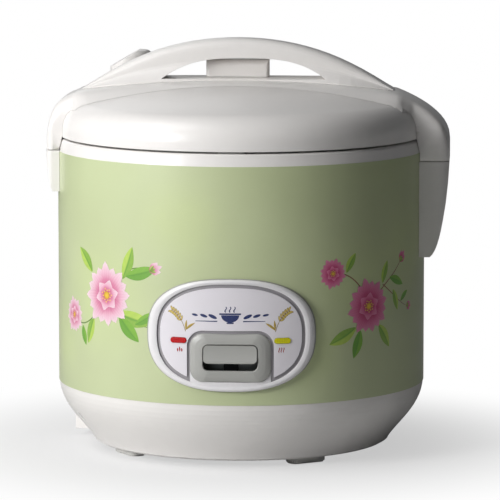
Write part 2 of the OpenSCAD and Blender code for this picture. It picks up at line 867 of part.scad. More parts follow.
module panel_frame() {
    color(white_plastic)
    difference() {
        union() {
            belt(panel_line(0), panel_line(panel_belt), [
                [0, shell_r - 1], [0, panel_back + 0.4], [0.05, panel_floor - 0.5],
                [0.16, panel_face - 0.2], [0.34, panel_rim - 0.25], [0.55, panel_rim],
                [0.78, panel_rim - 0.25], [1, panel_face], [1, shell_r - 1]]);
            on_front(shell_r - 1, panel_floor + 0.5)
                panel_shape(panel_a - panel_belt / 2, panel_b - panel_belt / 2);
            for (x = [-1, 1]) translate([x * (window_a - 4), 0, window_z1 - 4])
                standing(-shell_r + 4, board_y - board_t) circle(2.6);
        }
        on_front(panel_floor, panel_rim + 2) field_shape(groove_a, groove_b, 0);
        on_front(panel_floor, panel_rim + 2) bezel_shape(seat_gap);
        translate([0, 0, panel_z - panel_b]) cylinder(r = panel_back, h = 2 * panel_b);
        on_front(panel_back - 4, panel_rim + 2) button_slot(1.4);
        for (side = [-1, 1]) lens_prism(side * lamp_turn, panel_back - 4, panel_rim + 2, 0.3);
    }
}

module panel_plate() {
    color([0.94, 0.94, 0.95])
    difference() {
        on_front(panel_floor + seat_gap, panel_face) field_shape(plate_a, plate_b, bezel_groove);
        on_front(panel_back, panel_rim + 2) bezel_shape(bezel_groove);
        for (side = [-1, 1]) lens_prism(side * lamp_turn, panel_back, panel_rim + 2, 0.15);
    }
}

// Cushion round the button: steep at its outer edge, then flatter up to the slot
module switch_bezel() {
    low = panel_floor - 1;
    color(panel_grey)
    difference() {
        belt(rect_line(bezel_w, bezel_z0, bezel_z1, bezel_r),
            rect_line(button_w + 1, button_z - button_h / 2 - 5.2, button_z + button_h / 2 + 0.5, 3.9),
            [[0, low], [0, panel_face - 0.2], [0.06, panel_face + 0.5], [0.18, panel_rim + 0.2],
             [0.4, bezel_crest - 0.4], [0.7, bezel_crest], [0.95, bezel_crest + 0.1],
             [1, bezel_crest - 0.3], [1, low]]);
        translate([0, 0, bezel_z0 - 5])
            cylinder(r = panel_floor + seat_gap, h = bezel_z1 - bezel_z0 + 10, $fn = 360);
    }
}

module cook_lens() {
    color([0.85, 0.1, 0.1]) lens_prism(-lamp_turn, shell_r - 1, panel_face + 0.5, 0);
}

module warm_lens() {
    color([0.9, 0.85, 0.15]) lens_prism(lamp_turn, shell_r - 1, panel_face + 0.5, 0);
}

module lamp_board() {
    color([0.2, 0.45, 0.25])
    translate([-board_w / 2, board_y - board_t, lamp_z - 8])
        cube([board_w, board_t, window_z1 - lamp_z + 8]);
}

module lamps() {
    reach = (shell_r - 1) * cos(lamp_turn) - lens_l / 2 * sin(lamp_turn);
    color([0.95, 0.75, 0.5])
    for (side = [-1, 1])
        translate([side * (shell_r - 3) * sin(lamp_turn), 0, lamp_z])
        standing(-reach + part_gap, board_y - board_t) circle(lamp_r);
}

/* ---- power inlet ---- */

// The inlet's block, grown by a gap on the sides that the base closes round
module inlet_block(gap) {
    rotate(-90 - inlet_turn)
    translate([inlet_face - inlet_depth, -inlet_w / 2 - gap, base_z + (gap > 0 ? -1 : 0)])
        cube([inlet_depth + (gap > 0 ? 20 : 0), inlet_w + 2 * gap, inlet_h + gap + (gap > 0 ? 1 : 0)]);
}

module inlet_housing() {
    color(white_plastic)
    difference() {
        inlet_block(0);
        rotate(-90 - inlet_turn) translate([inlet_face - socket_depth, 0, socket_z])
            rotate([90, 0, 90]) linear_extrude(socket_depth + 1)
            rounded_rect(socket_w, socket_h, 4);
        each_inlet_pin(seat_gap);
    }
}

module each_inlet_pin(gap) {
    rotate(-90 - inlet_turn)
    for (p = [[-7, -1.5], [0, 3], [7, -1.5]])
        translate([inlet_face - inlet_depth - 5, p[0] - 1 - gap, socket_z + p[1] - 2 - gap])
        cube([inlet_depth + 1, 2 + 2 * gap, 4 + 2 * gap]);
}

module inlet_pins() {
    color([0.8, 0.7, 0.4]) each_inlet_pin(0);
}

/* ---- hinge ---- */

module hinge_line(x0, x1, r) {
    translate([x0, hinge_y, hinge_z]) rotate([0, 90, 0]) cylinder(r = r, h = x1 - x0);
}

module hinge_bracket() {
    foot_z = shell_top - 8;
    x1 = hinge_w / 2;
    x0 = x1 - hinge_ear_t;
    color(white_plastic)
    difference() {
        union() {
            for (side = [-1, 1]) {
                hinge_line(side > 0 ? x0 : -x1, side > 0 ? x1 : -x0, hinge_hub_r);
                translate([side > 0 ? x0 : -x1, shell_r - 10, foot_z])
                    cube([hinge_ear_t, hinge_y + hinge_hub_r - shell_r + 10, hinge_z - foot_z - 2]);
            }
            translate([-x1, shell_r - 10, foot_z])
                cube([2 * x1, hinge_y + hinge_hub_r - shell_r + 10, hinge_z - hinge_hub_r - 1 - foot_z]);
        }
        cylinder(r = shell_r + seat_gap, h = shell_top + seat_gap);
        translate([0, 0, shell_top])
            cylinder(r1 = collar_r0 + seat_gap, r2 = collar_r0 + seat_gap, h = 40);
        hinge_line(-hinge_w, hinge_w, hinge_pin_r + hold_gap);
    }
}

module hinge_pin() {
    color(steel) hinge_line(-hinge_w / 2 - 0.5, hinge_w / 2 + 0.5, hinge_pin_r);
}

module hinge_spring() {
    length = 2 * (hinge_arm_in - 0.5);
    color(steel)
    translate([-length / 2, hinge_y, hinge_z]) rotate([0, 90, 0])
        coil(hinge_pin_r + 1.4, 0.7, length, 9);
}

module lid_hinge_arm() {
    w = hinge_arm_out - hinge_arm_in;
    color(white_plastic)
    difference() {
        union() {
            for (x = [-hinge_arm_out, hinge_arm_in]) {
                hinge_line(x, x + w, hinge_hub_r - 0.4);
                sideways(x, x + w) polygon([
                    [lid_r - 6, lid_z + 1.5], [hinge_y - 1, hinge_z - 4.2],
                    [hinge_y + 2, hinge_z + 5], [lid_r - 6, lid_z + 15]]);
            }
            hinge_bridge();
        }
        lid_form(seat_gap, lid_z - 5);
        hinge_line(-hinge_w, hinge_w, hinge_pin_r + run_gap);
    }
}

// Strap along the rim that joins the two arms
module hinge_bridge() {
    intersection() {
        translate([0, 0, lid_z + 1.5]) ring(lid_r + 1.4, lid_r, 9);
        translate([-hinge_arm_out, 0, lid_z]) cube([2 * hinge_arm_out, 2 * lid_r, 20]);
    }
}

/* ---- lid ---- */

// Outline of the lid from its crown out and down to its rim, drawn in by a wall
function lid_outline(inset) =
    let (meet = 90 - asin(shoulder_c[0] / (crown_r - lid_shoulder_r)))
    concat(
        arc([0, crown_c], crown_r - inset, 90, meet, 16),
        arc(shoulder_c, lid_shoulder_r - inset, meet * 17 / 18, 0, 17));

// Solid of the lid's form down to a level, grown by a gap
module lid_form(grow, low) {
    rotate_extrude()
        polygon(concat([[0, low]], lid_outline(-grow), [[lid_r + grow, low]]));
}

module lid_cover() {
    color(white_plastic)
    difference() {
        rotate_extrude() polygon(concat(lid_outline(0), [[lid_r, lid_z], [lid_r - lid_wall, lid_z]],
            reversed(lid_outline(lid_wall))));
        post_slot();
        translate([-vent_x, vent_y, lid_z]) cylinder(r = tube_r + seat_gap, h = lid_rise + 10);
    }
}

// Slot for the release post, through the lid and the handle's deck
module post_slot() {
    translate([-post_w / 2 - slide_gap, release_y - post_d / 2 - slide_gap, crown_z - 20])
        cube([post_w + 2 * slide_gap, post_d + release_travel + 2 * slide_gap, 40]);
}

module lid_inner_panel() {
    r = lid_r - lid_wall - seat_gap;
    color(white_plastic)
    difference() {
        rotate_extrude() polygon([
            [0, lid_z + 0.4], [r, lid_z + 0.4], [r, lid_z + 5],
            [r - 2, lid_z + 5], [r - 2, lid_z + 2.4], [0, lid_z + 2.4]]);
        hook_slot();
        translate([-vent_x, vent_y, lid_z - 1]) cylinder(r = tube_r + seat_gap, h = 10);
        translate([0, 0, lid_z - 1]) cylinder(r = 3.1, h = 10);
    }
    // ribs that guide the latch bar, and the stop behind its spring
    color(white_plastic) {
        for (x = [-bar_w / 2 - slide_gap - 2, bar_w / 2 + slide_gap], y = [-100, -70, -30])
            translate([x, y, lid_z + 2.4]) cube([2, 12, bar_z + bar_t - lid_z - 2.4]);
        translate([-bar_w / 2, spring_y + 12 + seat_gap, lid_z + 2.4])
            cube([bar_w, 2, bar_z - lid_z - 2.4 - part_gap]);
    }
}

module hook_slot() {
    translate([-hook_w / 2 - slide_gap, window_y, lid_z - 1])
        cube([hook_w + 2 * slide_gap, nose_l + hook_t + release_travel + 2 * slide_gap, 10]);
}

module inner_lid_plate() {
    z = pot_top + 3;
    color(aluminium)
    difference() {
        union() {
            translate([0, 0, z]) cylinder(r = inner_lid_r, h = 1);
            translate([0, 0, z - 0.8]) ring(inner_lid_r - 14, inner_lid_r - 18, 1.8);
        }
        translate([0, 0, z - 2]) cylinder(r = 4.1, h = 5);
        for (a = [0 : 60 : 300], r = [0, 5])
            translate([-vent_x, vent_y, z - 2]) rotate(a) translate([r, 0, 0])
            cylinder(r = 1.3, h = 5);
    }
}

module lid_gasket() {
    z = pot_top + part_gap;
    color([0.88, 0.88, 0.86])
    rotate_extrude() polygon([
        [inner_lid_r - 4, z], [pot_flange_r, z], [pot_flange_r + 0.8, z + 1],
        [pot_flange_r + 0.8, z + 5.2], [inner_lid_r - 4, z + 5.2],
        [inner_lid_r - 4, z + 4], [inner_lid_r + seat_gap, z + 4],
        [inner_lid_r + seat_gap, z + 2.4], [inner_lid_r - 4, z + 2.4]]);
}

module lid_grommet() {
    z = pot_top + 3;
    top = lid_z + 2.4;
    color([0.8, 0.8, 0.78])
    translate([0, 0, z]) rotate_extrude() polygon([
        [0, -3], [5, -3], [7, -1.6], [7, -seat_gap], [4, -seat_gap],
        [4, 1 + seat_gap], [6.5, 1 + seat_gap], [6.5, lid_z + 0.4 - z - seat_gap],
        [3, lid_z + 0.4 - z - seat_gap], [3, top - z + seat_gap], [4.4, top - z + seat_gap],
        [3, top - z + 2], [0, top - z + 2]]);
}

/* ---- steam vent ---- */

module vent_tube() {
    color(white_plastic)
    translate([-vent_x, vent_y, 0])
    difference() {
        union() {
            translate([0, 0, lid_z + 0.6]) cylinder(r = tube_r, h = vent_base + 8 - lid_z);
            translate([0, 0, lid_z + 2.4 + seat_gap]) cylinder(r = tube_r + 3, h = 1.5);
        }
        translate([0, 0, lid_z]) cylinder(r = tube_r - tube_wall, h = lid_rise + 40);
    }
}

module vent_cap() {
    top = vent_base + vent_h;
    color(white_plastic)
    translate([-vent_x, vent_y, 0])
    difference() {
        rotate_extrude() polygon(concat([[0, 0], [vent_r, 0]],
            arc([vent_r - 4, top - 4], 4, 0, 90, 6), [[0, top]]));
        // the dome it stands on
        translate([vent_x, -vent_y, 0]) cylinder(r = lid_r, h = lid_z);
        translate([vent_x, -vent_y, crown_c]) sphere(r = crown_r + part_gap, $fn = 360);
        // sloping cut, low on the outside
        translate([-vent_r, -30, vent_base + vent_low]) rotate([0, -vent_slope, 0])
            translate([-30, 0, 0]) cube([120, 60, 60]);
        // bore over the vent tube
        cylinder(r = tube_r + run_gap, h = vent_base + 8 + part_gap + 1);
        // steam slots in the top
        for (y = [-6, -2, 2, 6])
            translate([-5, y - 0.9, vent_base]) cube([10, 1.8, 60]);
    }
}

/* ---- release ---- */

module release_button() {
    z0 = deck_z + part_gap;
    y0 = release_y - release_d / 2;
    color(white_plastic)
    difference() {
        intersection() {
            translate([release_x, 0, z0]) linear_extrude(release_h) translate([0, release_y])
                rounded_rect(release_w, release_d, 2.5);
            sideways(-release_w, release_w) polygon(concat(
                [[y0, z0 - 1], [y0 + release_d, z0 - 1], [y0 + release_d, z0 + release_h]],
                arc([y0 + 4, z0 + release_h - 4], 4, 90, 180, 8)));
        }
        translate([-post_w / 2 - seat_gap, release_y - post_d / 2 - seat_gap, z0 - 1])
            cube([post_w + 2 * seat_gap, post_d + 2 * seat_gap, 7.1]);
    }
}

module latch_bar() {
    hook_foot = ledge_top + 0.6;
    nose_top = collar_top - 2.4 - part_gap;
    color([0.85, 0.85, 0.83]) {
        translate([-bar_w / 2, hook_y, bar_z])
            cube([bar_w, release_y + post_d / 2 - hook_y, bar_t]);
        translate([-post_w / 2, release_y - post_d / 2, bar_z])
            cube([post_w, post_d, deck_z + part_gap + 6 - bar_z]);
        sideways(-hook_w / 2, hook_w / 2) polygon([
            [hook_y, bar_z + bar_t], [hook_y, nose_top], [hook_y - nose_l, nose_top],
            [hook_y - nose_l, nose_top - 1], [hook_y, hook_foot],
            [hook_y + hook_t, hook_foot], [hook_y + hook_t, bar_z + bar_t]]);
        // tab that the spring pushes on
        translate([-bar_w / 2, spring_y - 2, bar_z - 3.2]) cube([bar_w, 2, 3.2]);
    }
}

module latch_spring() {
    color(steel)
    translate([0, spring_y + seat_gap, lid_z + 2.4 + 1.9]) rotate([-90, 0, 0])
        coil(1.3, 0.4, 12 - seat_gap, 7, 12);
}

/* ---- wings and carry handle ---- */

// Height of a curve at a given reach, found by halving
function on_curve(p, x, lo = 0, hi = 1, n = 24) =
    let (mid = (lo + hi) / 2, q = bezier(p, mid))
    n == 0 ? q[1] : q[0] < x ? on_curve(p, x, mid, hi, n - 1) : on_curve(p, x, lo, mid, n - 1);

// Height of the handle's top edge at a distance from its middle: a full arch
function arch_z(u) = on_curve([[0, handle_top], [0.6 * arch_l, handle_top],
    [0.9 * arch_l, joint_z + 4.3], [arch_l, joint_z]], u);

// Height of the lid's ridge, which carries the handle and ends in the rounded shoulders
function ridge_top(u, side, reach) =
    u <= arch_l
    ? on_curve([[0, ridge_z], [0.42 * arch_l, ridge_z], [0.76 * arch_l, joint_z + 3.8],
        [arch_l, joint_z]], u)
    : on_curve(side > 0
        ? [[arch_l, joint_z], [arch_l + 10, joint_z - 3.9], [reach, joint_z - 15.9],
            [reach, joint_z - 34.9]]
        : [[arch_l, joint_z], [arch_l + 7, joint_z - 5.3], [reach, joint_z - 1.9],
            [reach, joint_z - 37.9]], u);

// Flank of the ridge from its top down to the dome, as [distance from the middle, height]
function flank(x, top, half, flat, spread) =
    let (
        rim = sqrt(max(0, pow(lid_r - 5, 2) - x * x)),
        on_dome = rim > half,
        foot_y = on_dome ? min(spread, rim) : half,
        r = norm([x, foot_y]),
        foot = [foot_y, on_dome ? dome_z(r) - flank_sink : min(top - 8, lid_z + lid_skirt_h)],
        fall = on_dome ? unit([-1, dome_fall(r) * foot_y / r + 0.3]) : [0, 1],
        reach = 0.42 * norm([foot_y - flat, top - foot[1]])
    )
    [for (i = [0 : 7]) bezier([[flat, top], [flat + reach, top], foot + reach * fall, foot], i / 7)];

// One slice of the ridge, from its level foot up over its top
function ridge_slice(u, side, reach, corner, foot) =
    let (
        x = arch_x + side * u,
        top = ridge_top(u, side, reach),
        past = max(0, u - reach + corner),
        half = shoulder_depth / 2 - corner + sqrt(max(0, corner * corner - past * past)),
        flat = min(deck_depth / 2 + 2, half - 6),
        front = flank(x, top, half, flat, blend_front),
        back = flank(x, top, half, flat, max(blend_back, flat + 4))
    )
    concat([[x, back[7][0], foot]], [for (p = reversed(back)) [x, p[0], p[1]]],
        [for (p = front) [x, -p[0], p[1]]], [[x, -front[7][0], foot]]);

// Slices of one half of the ridge, from the middle out to the joint
function ridge(side, reach) =
    [for (i = [0 : 14]) ridge_slice(i * station, side, reach, 0, left_end_z)];

// Slices from the joint out to a shoulder's end, closer together towards the end
function wing(side, reach, foot) =
    let (u_end = reach - side * arch_x, corner = shoulder_corner(reach))
    [for (i = [1 : 12])
        let (u = u_end - (u_end - arch_l) * pow(1 - i / 12, 1.6))
        ridge_slice(u, side, u_end, corner, foot)];

// The lid's own form and the body below it, with the opening under the handle's deck
module shoulder_hollow() {
    lid_form(seat_gap, shell_top - 40);
    translate([0, 0, shell_top - 40]) cylinder(r = shell_r + slide_gap, h = 40);
    translate([0, 0, shell_top])
        cylinder(r1 = shell_r + slide_gap, r2 = collar_r1 + slide_gap, h = lid_z - shell_top);
    translate([-deck_window / 2, -deck_window / 3, crown_z - 20])
        cube([deck_window, deck_window, 40]);
}

// Ridge over the dome that ends in the shoulders: its right half, then its left
module lid_shoulders() {
    color(white_plastic) {
        difference() {
            loft(concat(ridge(1, right_reach), wing(1, right_reach, right_end_z)));
            shoulder_hollow();
        }
        difference() {
            loft(reversed(concat(ridge(-1, left_reach), wing(-1, left_reach, left_end_z))));
            shoulder_hollow();
        }
    }
}

// One slice of the arch: a rounded top that flares out to the deck
function arch_slice(u, side) =
    let (
        x = arch_x + side * u,
        low = ridge_top(u, side, right_reach) + seat_gap,
        top = arch_z(u),
        h = top - low,
        slim = handle_depth / 2,
        wide = slim + (deck_depth / 2 - slim) * min(1, h / 16),
        r = min(6, 0.45 * h),
        edge = concat([[wide, low], [wide, low + min(1, 0.2 * h)]],
            [for (t = [0.25 : 0.25 : 1]) bezier([[wide, low + min(1, 0.2 * h)],
                [slim + 0.4 * (wide - slim), low + 0.3 * h], [slim, low + 0.4 * h],
                [slim, low + 0.5 * h]], t)],
            arc([slim - r, top - r], r, 0, 90, 5))
    )
    concat([for (p = edge) [x, p[0], p[1]]], [for (p = reversed(edge)) [x, -p[0], p[1]]]);

// Loft through slices that all have the same number of points
module loft(slices) {
    n = len(slices[0]);
    walls = [
        for (i = [0 : len(slices) - 2], j = [0 : n - 1])
        let (a = i * n + j, b = i * n + (j + 1) % n)
        each [[a, b, a + n], [b, b + n, a + n]]
    ];
    ends = [
        [for (j = [n - 1 : -1 : 0]) j],
        [for (j = [0 : n - 1]) (len(slices) - 1) * n + j]
    ];
    polyhedron([for (s = slices) each s], concat(walls, ends), convexity = 8);
}

module carry_handle() {
    ends = [arch_slice(arch_end, -1), arch_slice(arch_end, 1)];
    color(white_plastic)
    difference() {
        loft(concat([ends[0]],
            [for (i = [-13 : 13]) arch_slice(abs(i) * station, i < 0 ? -1 : 1)], [ends[1]]));
        grip_opening();
        post_slot();
    }
}

// Finger opening under the arch: flat floor, full top that falls to pointed ends
module grip_opening() {
    steps = 24;
    standing(-shoulder_depth, shoulder_depth) translate([grip_x, deck_z]) polygon([
        for (i = [-steps : steps])
        let (t = i / steps, u = sign(t) * (1 - pow(1 - abs(t), 1.4)))
        [grip_l * u, grip_h * (1 - pow(abs(u), 3))]
    ]);
}

outer_shell();
base_tub();
bottom_plate();
feet();
collar();
right_side_cover();
left_side_cover();
inner_can();
keep_warm_band();
heating_plate();
heating_element();
plate_supports();
thermal_fuse();
thermostat_cage();
sensor_cup();
sensor_ferrite();
sensor_spring();
magnet_rod();
magnet_spring();
cook_lever();
lever_bracket();
lever_pin();
cook_button();
micro_switch();
panel_frame();
panel_plate();
switch_bezel();
cook_lens();
warm_lens();
lamp_board();
lamps();
inlet_housing();
inlet_pins();
inner_pot();
hinge_bracket();
hinge_pin();
hinge_spring();
lid_cover();
lid_shoulders();
lid_hinge_arm();
carry_handle();
lid_inner_panel();
inner_lid_plate();
lid_gasket();
lid_grommet();
vent_tube();
vent_cap();
release_button();
latch_bar();
latch_spring();
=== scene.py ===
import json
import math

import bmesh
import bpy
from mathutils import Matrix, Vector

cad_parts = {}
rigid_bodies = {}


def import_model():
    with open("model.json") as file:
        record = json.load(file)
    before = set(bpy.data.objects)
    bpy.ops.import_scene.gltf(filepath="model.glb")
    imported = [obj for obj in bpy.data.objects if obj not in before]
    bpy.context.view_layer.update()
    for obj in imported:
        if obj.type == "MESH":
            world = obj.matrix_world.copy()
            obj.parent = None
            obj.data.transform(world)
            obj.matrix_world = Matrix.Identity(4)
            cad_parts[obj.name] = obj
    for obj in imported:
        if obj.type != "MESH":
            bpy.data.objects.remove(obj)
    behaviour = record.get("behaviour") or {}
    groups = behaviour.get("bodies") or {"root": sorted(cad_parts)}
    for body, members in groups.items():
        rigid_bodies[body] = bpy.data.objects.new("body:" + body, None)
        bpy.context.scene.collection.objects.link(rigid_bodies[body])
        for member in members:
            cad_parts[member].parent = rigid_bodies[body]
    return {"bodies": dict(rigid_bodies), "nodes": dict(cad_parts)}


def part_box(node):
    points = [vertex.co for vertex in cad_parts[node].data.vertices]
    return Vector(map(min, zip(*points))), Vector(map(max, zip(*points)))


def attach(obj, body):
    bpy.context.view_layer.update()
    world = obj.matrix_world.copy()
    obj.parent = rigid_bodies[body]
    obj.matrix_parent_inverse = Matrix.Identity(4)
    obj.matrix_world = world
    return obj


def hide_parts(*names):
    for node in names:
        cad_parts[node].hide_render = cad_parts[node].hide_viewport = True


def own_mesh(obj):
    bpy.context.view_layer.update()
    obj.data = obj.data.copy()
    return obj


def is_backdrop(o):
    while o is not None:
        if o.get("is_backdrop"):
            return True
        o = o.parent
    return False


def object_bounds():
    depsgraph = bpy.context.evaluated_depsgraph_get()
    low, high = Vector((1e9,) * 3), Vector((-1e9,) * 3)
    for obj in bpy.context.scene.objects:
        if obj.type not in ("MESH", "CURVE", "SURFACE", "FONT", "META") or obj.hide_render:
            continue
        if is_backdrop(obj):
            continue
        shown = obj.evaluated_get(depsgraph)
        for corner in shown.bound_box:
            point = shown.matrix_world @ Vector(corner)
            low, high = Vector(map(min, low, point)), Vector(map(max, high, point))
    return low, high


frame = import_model()

# %% [markdown]
# # A jar rice cooker
#
# The cooker's solids come packed as a frame: each is one real piece, in its place, on the body that it
# moves with. This script dresses them. Most solids have the right shape already and only need a finish.
# New meshes are made for what solids are poor at: prints a few hundredths of a millimetre thick, and
# smooth coil springs.
#
# Lengths are in metres and +Z is up. The cook switch looks along -Y.

MM = 0.001
NODES = frame["nodes"]
cad_low, cad_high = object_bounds()
print("solids:", len(NODES))
print("CAD box in mm:", [round(x / MM, 1) for x in cad_low], [round(x / MM, 1) for x in cad_high])

# %% [markdown]
# ## Sizes shared with the solids
#
# The prints lie on the shell and on the panel's plate, so their places are read from the boxes of those
# solids. They could be typed here again, but then a change in the CAD would leave the ink in the air.

# %% Sizes from the solids' boxes
SHELL_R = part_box("outer_shell")[1].x
panel_low, panel_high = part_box("panel_frame")
PANEL_Z = (panel_high.z + panel_low.z) / 2
print("shell radius", round(SHELL_R / MM, 2), "mm, middle of the panel at", round(PANEL_Z / MM, 2), "mm")

# %% [markdown]
# ## The camera
#
# A product picture is taken from far off with a long lens, which keeps upright lines nearly parallel. A
# short lens close by would make the base look small under the lid. This camera stands about 2.9 m away,
# a little above the lid and a little to the cooker's right. Its direction is built as a vector, and
# to_track_quat turns that into a rotation, so no angles have to be added up by hand.

# %% Camera
DISTANCE = 2.933
EYE_HEIGHT = 0.5105
LENS = 299.0
SENSOR = 36
AROUND = math.radians(3.3)
PITCH = math.radians(7.22)
YAW = math.radians(0.12)

scene = bpy.context.scene
right = Vector((math.cos(AROUND), math.sin(AROUND), 0))
away = Vector((-math.sin(AROUND), math.cos(AROUND), 0))
up = Vector((0, 0, 1))
level = right * math.sin(YAW) + away * math.cos(YAW)
look = level * math.cos(PITCH) - up * math.sin(PITCH)
camera = bpy.data.objects.new("camera", bpy.data.cameras.new("camera"))
camera.data.sensor_width = SENSOR
camera.data.lens = LENS
camera.data.clip_start = 0.1
camera.data.clip_end = 30
camera.location = -away * DISTANCE + up * EYE_HEIGHT
camera.rotation_mode = "QUATERNION"
camera.rotation_quaternion = look.to_track_quat("-Z", "Y")
scene.collection.objects.link(camera)
scene.camera = camera
print("camera at", [round(x, 3) for x in camera.location])

# %% [markdown]
# ## The lamps
#
# White glossy plastic shows its form by shade alone, so the lamps don't surround it. One large soft lamp
# stands low on the left and leaves the right side in shade, a weaker one lights the lid from above, and
# a faint one behind draws the edge of the handle. Area lamps are used because their size makes the
# shadows soft. A sun or a spot would draw hard ones.

# %% Lamps
def area_lamp(name, place, target, size, power):
    """A square soft lamp that points at a target."""
    data = bpy.data.lights.new(name, "AREA")
    data.size = size
    data.energy = power
    lamp = bpy.data.objects.new(name, data)
    lamp.location = place
    lamp.rotation_mode = "QUATERNION"
    lamp.rotation_quaternion = (Vector(target) - Vector(place)).to_track_quat("-Z", "Y")
    scene.collection.objects.link(lamp)
    print(name, "of", power, "W at", place)


area_lamp("key_light", place=(-1.12, -1.06, 0.62), target=(0, 0, 0.13), size=0.6, power=16.3)
area_lamp("top_light", place=(-0.80, -0.45, 1.25), target=(0, 0, 0.2), size=0.8, power=8)
area_lamp("back_light", place=(-0.5, 1.6, 0.9), target=(0, 0, 0.15), size=0.8, power=2)

# %% [markdown]
# ## The surround
#
# The background is plain white, but a white world would light the cooker from all sides and wash out
# its shade. Light Path tells the kinds of ray apart: the camera sees white, mirror-like reflections see a
# dim grey, and everything else gets almost nothing.

# %% Surround
world = bpy.data.worlds.new("surround")
scene.world = world
world.use_nodes = True
surround = world.node_tree
surround.nodes.clear()
path = surround.nodes.new("ShaderNodeLightPath")


def background(colour, strength):
    """A surround of one colour."""
    made = surround.nodes.new("ShaderNodeBackground")
    made.inputs["Color"].default_value = colour
    made.inputs["Strength"].default_value = strength
    return made


def choose(ray, chosen, other):
    """Shows one surround to a kind of ray, and another to the rest."""
    made = surround.nodes.new("ShaderNodeMixShader")
    surround.links.new(path.outputs[ray], made.inputs[0])
    surround.links.new(other.outputs[0], made.inputs[1])
    surround.links.new(chosen.outputs[0], made.inputs[2])
    return made


seen = background((1, 1, 1, 1), 1)
mirrored = background((0.96, 0.98, 1.0, 1), 0.22)
cast = background((0.93, 0.96, 1.0, 1), 0.03)
picked = choose("Is Camera Ray", seen, choose("Is Glossy Ray", mirrored, cast))
out = surround.nodes.new("ShaderNodeOutputWorld")
surround.links.new(picked.outputs[0], out.inputs["Surface"])
scene.view_settings.view_transform = "Standard"
scene.view_settings.look = "None"
scene.render.film_transparent = False
print("surround:", len(surround.nodes), "nodes")

# %% [markdown]
# ## The floor
#
# The cooker stands on white card. A real card would turn grey away from the lamps and end in an edge.
# Here a large disc takes the shadow, and what the camera sees of it fades into the white behind: matt
# card close to the cooker, and a plain glow further out. The glow is for camera rays alone, so it
# doesn't light the base from below.

# %% Card that fades into white
CARD = 0.72
GLOW_NEAR, GLOW_FAR = 0.10, 0.30
SHARE_NEAR, SHARE_FAR = 0.55, 1

card = bpy.data.materials.new("floor_card")
card.use_nodes = True
nodes, links = card.node_tree.nodes, card.node_tree.links
nodes.clear()
matt = nodes.new("ShaderNodeBsdfDiffuse")
matt.inputs["Color"].default_value = (CARD, CARD, CARD, 1)
glow = nodes.new("ShaderNodeEmission")
glow.inputs["Color"].default_value = (1, 1, 1, 1)
where = nodes.new("ShaderNodeTexCoord")
reach = nodes.new("ShaderNodeVectorMath")
reach.operation = "LENGTH"
fade = nodes.new("ShaderNodeMapRange")
fade.interpolation_type = "SMOOTHSTEP"
fade.inputs["From Min"].default_value = GLOW_NEAR
fade.inputs["From Max"].default_value = GLOW_FAR
fade.inputs["To Min"].default_value = SHARE_NEAR
fade.inputs["To Max"].default_value = SHARE_FAR
ray = nodes.new("ShaderNodeLightPath")
share = nodes.new("ShaderNodeMath")
share.operation = "MULTIPLY"
blend = nodes.new("ShaderNodeMixShader")
end = nodes.new("ShaderNodeOutputMaterial")
links.new(where.outputs["Object"], reach.inputs[0])
links.new(reach.outputs["Value"], fade.inputs["Value"])
links.new(fade.outputs[0], share.inputs[0])
links.new(ray.outputs["Is Camera Ray"], share.inputs[1])
links.new(share.outputs[0], blend.inputs[0])
links.new(matt.outputs[0], blend.inputs[1])
links.new(glow.outputs[0], blend.inputs[2])
links.new(blend.outputs[0], end.inputs["Surface"])
print("card:", len(nodes), "nodes, glow from", GLOW_NEAR, "to", GLOW_FAR, "m")

# %% Floor
FLOOR_RADIUS = 6
bpy.ops.mesh.primitive_circle_add(vertices=96, radius=FLOOR_RADIUS, fill_type="NGON", location=(0, 0, 0))
floor = bpy.context.object
floor.name = "floor"
floor.data.materials.append(card)
floor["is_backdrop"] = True
print("floor radius", FLOOR_RADIUS, "m")

# %% [markdown]
# ## Colours
#
# A colour is easiest to judge as it looks on a screen, from 0 to 255, but shaders add and multiply
# light. So each colour is written in screen values and turned into linear light once, here.

# %% Colour helpers
def linear(value):
    """One screen value, from 0 to 255, as linear light."""
    value /= 255
    return value / 12.92 if value <= 0.04045 else ((value + 0.055) / 1.055) ** 2.4


def rgb(r, g, b):
    """A colour in screen values, as linear light."""
    return (linear(r), linear(g), linear(b), 1)


def shade(colour, factor):
    """A colour made darker or lighter."""
    return (colour[0] * factor, colour[1] * factor, colour[2] * factor, 1)


print("mid grey in linear light:", round(linear(128), 3))

# %% [markdown]
# ## A finish under construction
#
# A material is a tree of nodes, and a line for each socket soon hides what the finish is. This small
# class adds nodes and sets or links their sockets. It reads Object coordinates, which are metres in
# the shared frame, so a grain of 1 mm is 1 mm on every piece. UV maps would need unwrapping, and the
# solids have none.

# %% Finish
class Finish:
    """A material, its main shader and the coordinates that its patterns read."""

    def __init__(self, name):
        self.mat = bpy.data.materials.new(name)
        self.mat.use_nodes = True
        self.tree = self.mat.node_tree
        self.bsdf = self.tree.nodes["Principled BSDF"]
        self.space = self.node("TexCoord").outputs["Object"]

    def node(self, kind, **settings):
        """Adds a shader node."""
        made = self.tree.nodes.new("ShaderNode" + kind)
        for key, value in settings.items():
            setattr(made, key, value)
        return made

    def link(self, source, socket):
        self.tree.links.new(source, socket)

    def put(self, socket, value):
        """Sets a socket, or links another socket into it."""
        if isinstance(value, bpy.types.NodeSocket):
            self.link(value, socket)
        else:
            socket.default_value = value

    def set(self, **values):
        """Sets the main shader's sockets by name, with _ for a space."""
        for key, value in values.items():
            self.put(self.bsdf.inputs[key.replace("_", " ")], value)

# %% [markdown]
# ## Steps that finishes share
#
# Real surfaces wander a little in tone, in gloss and in height. Noise gives the wandering, span maps it
# onto the range that is wanted, mix turns it into colour, and bump into slopes that catch the light.

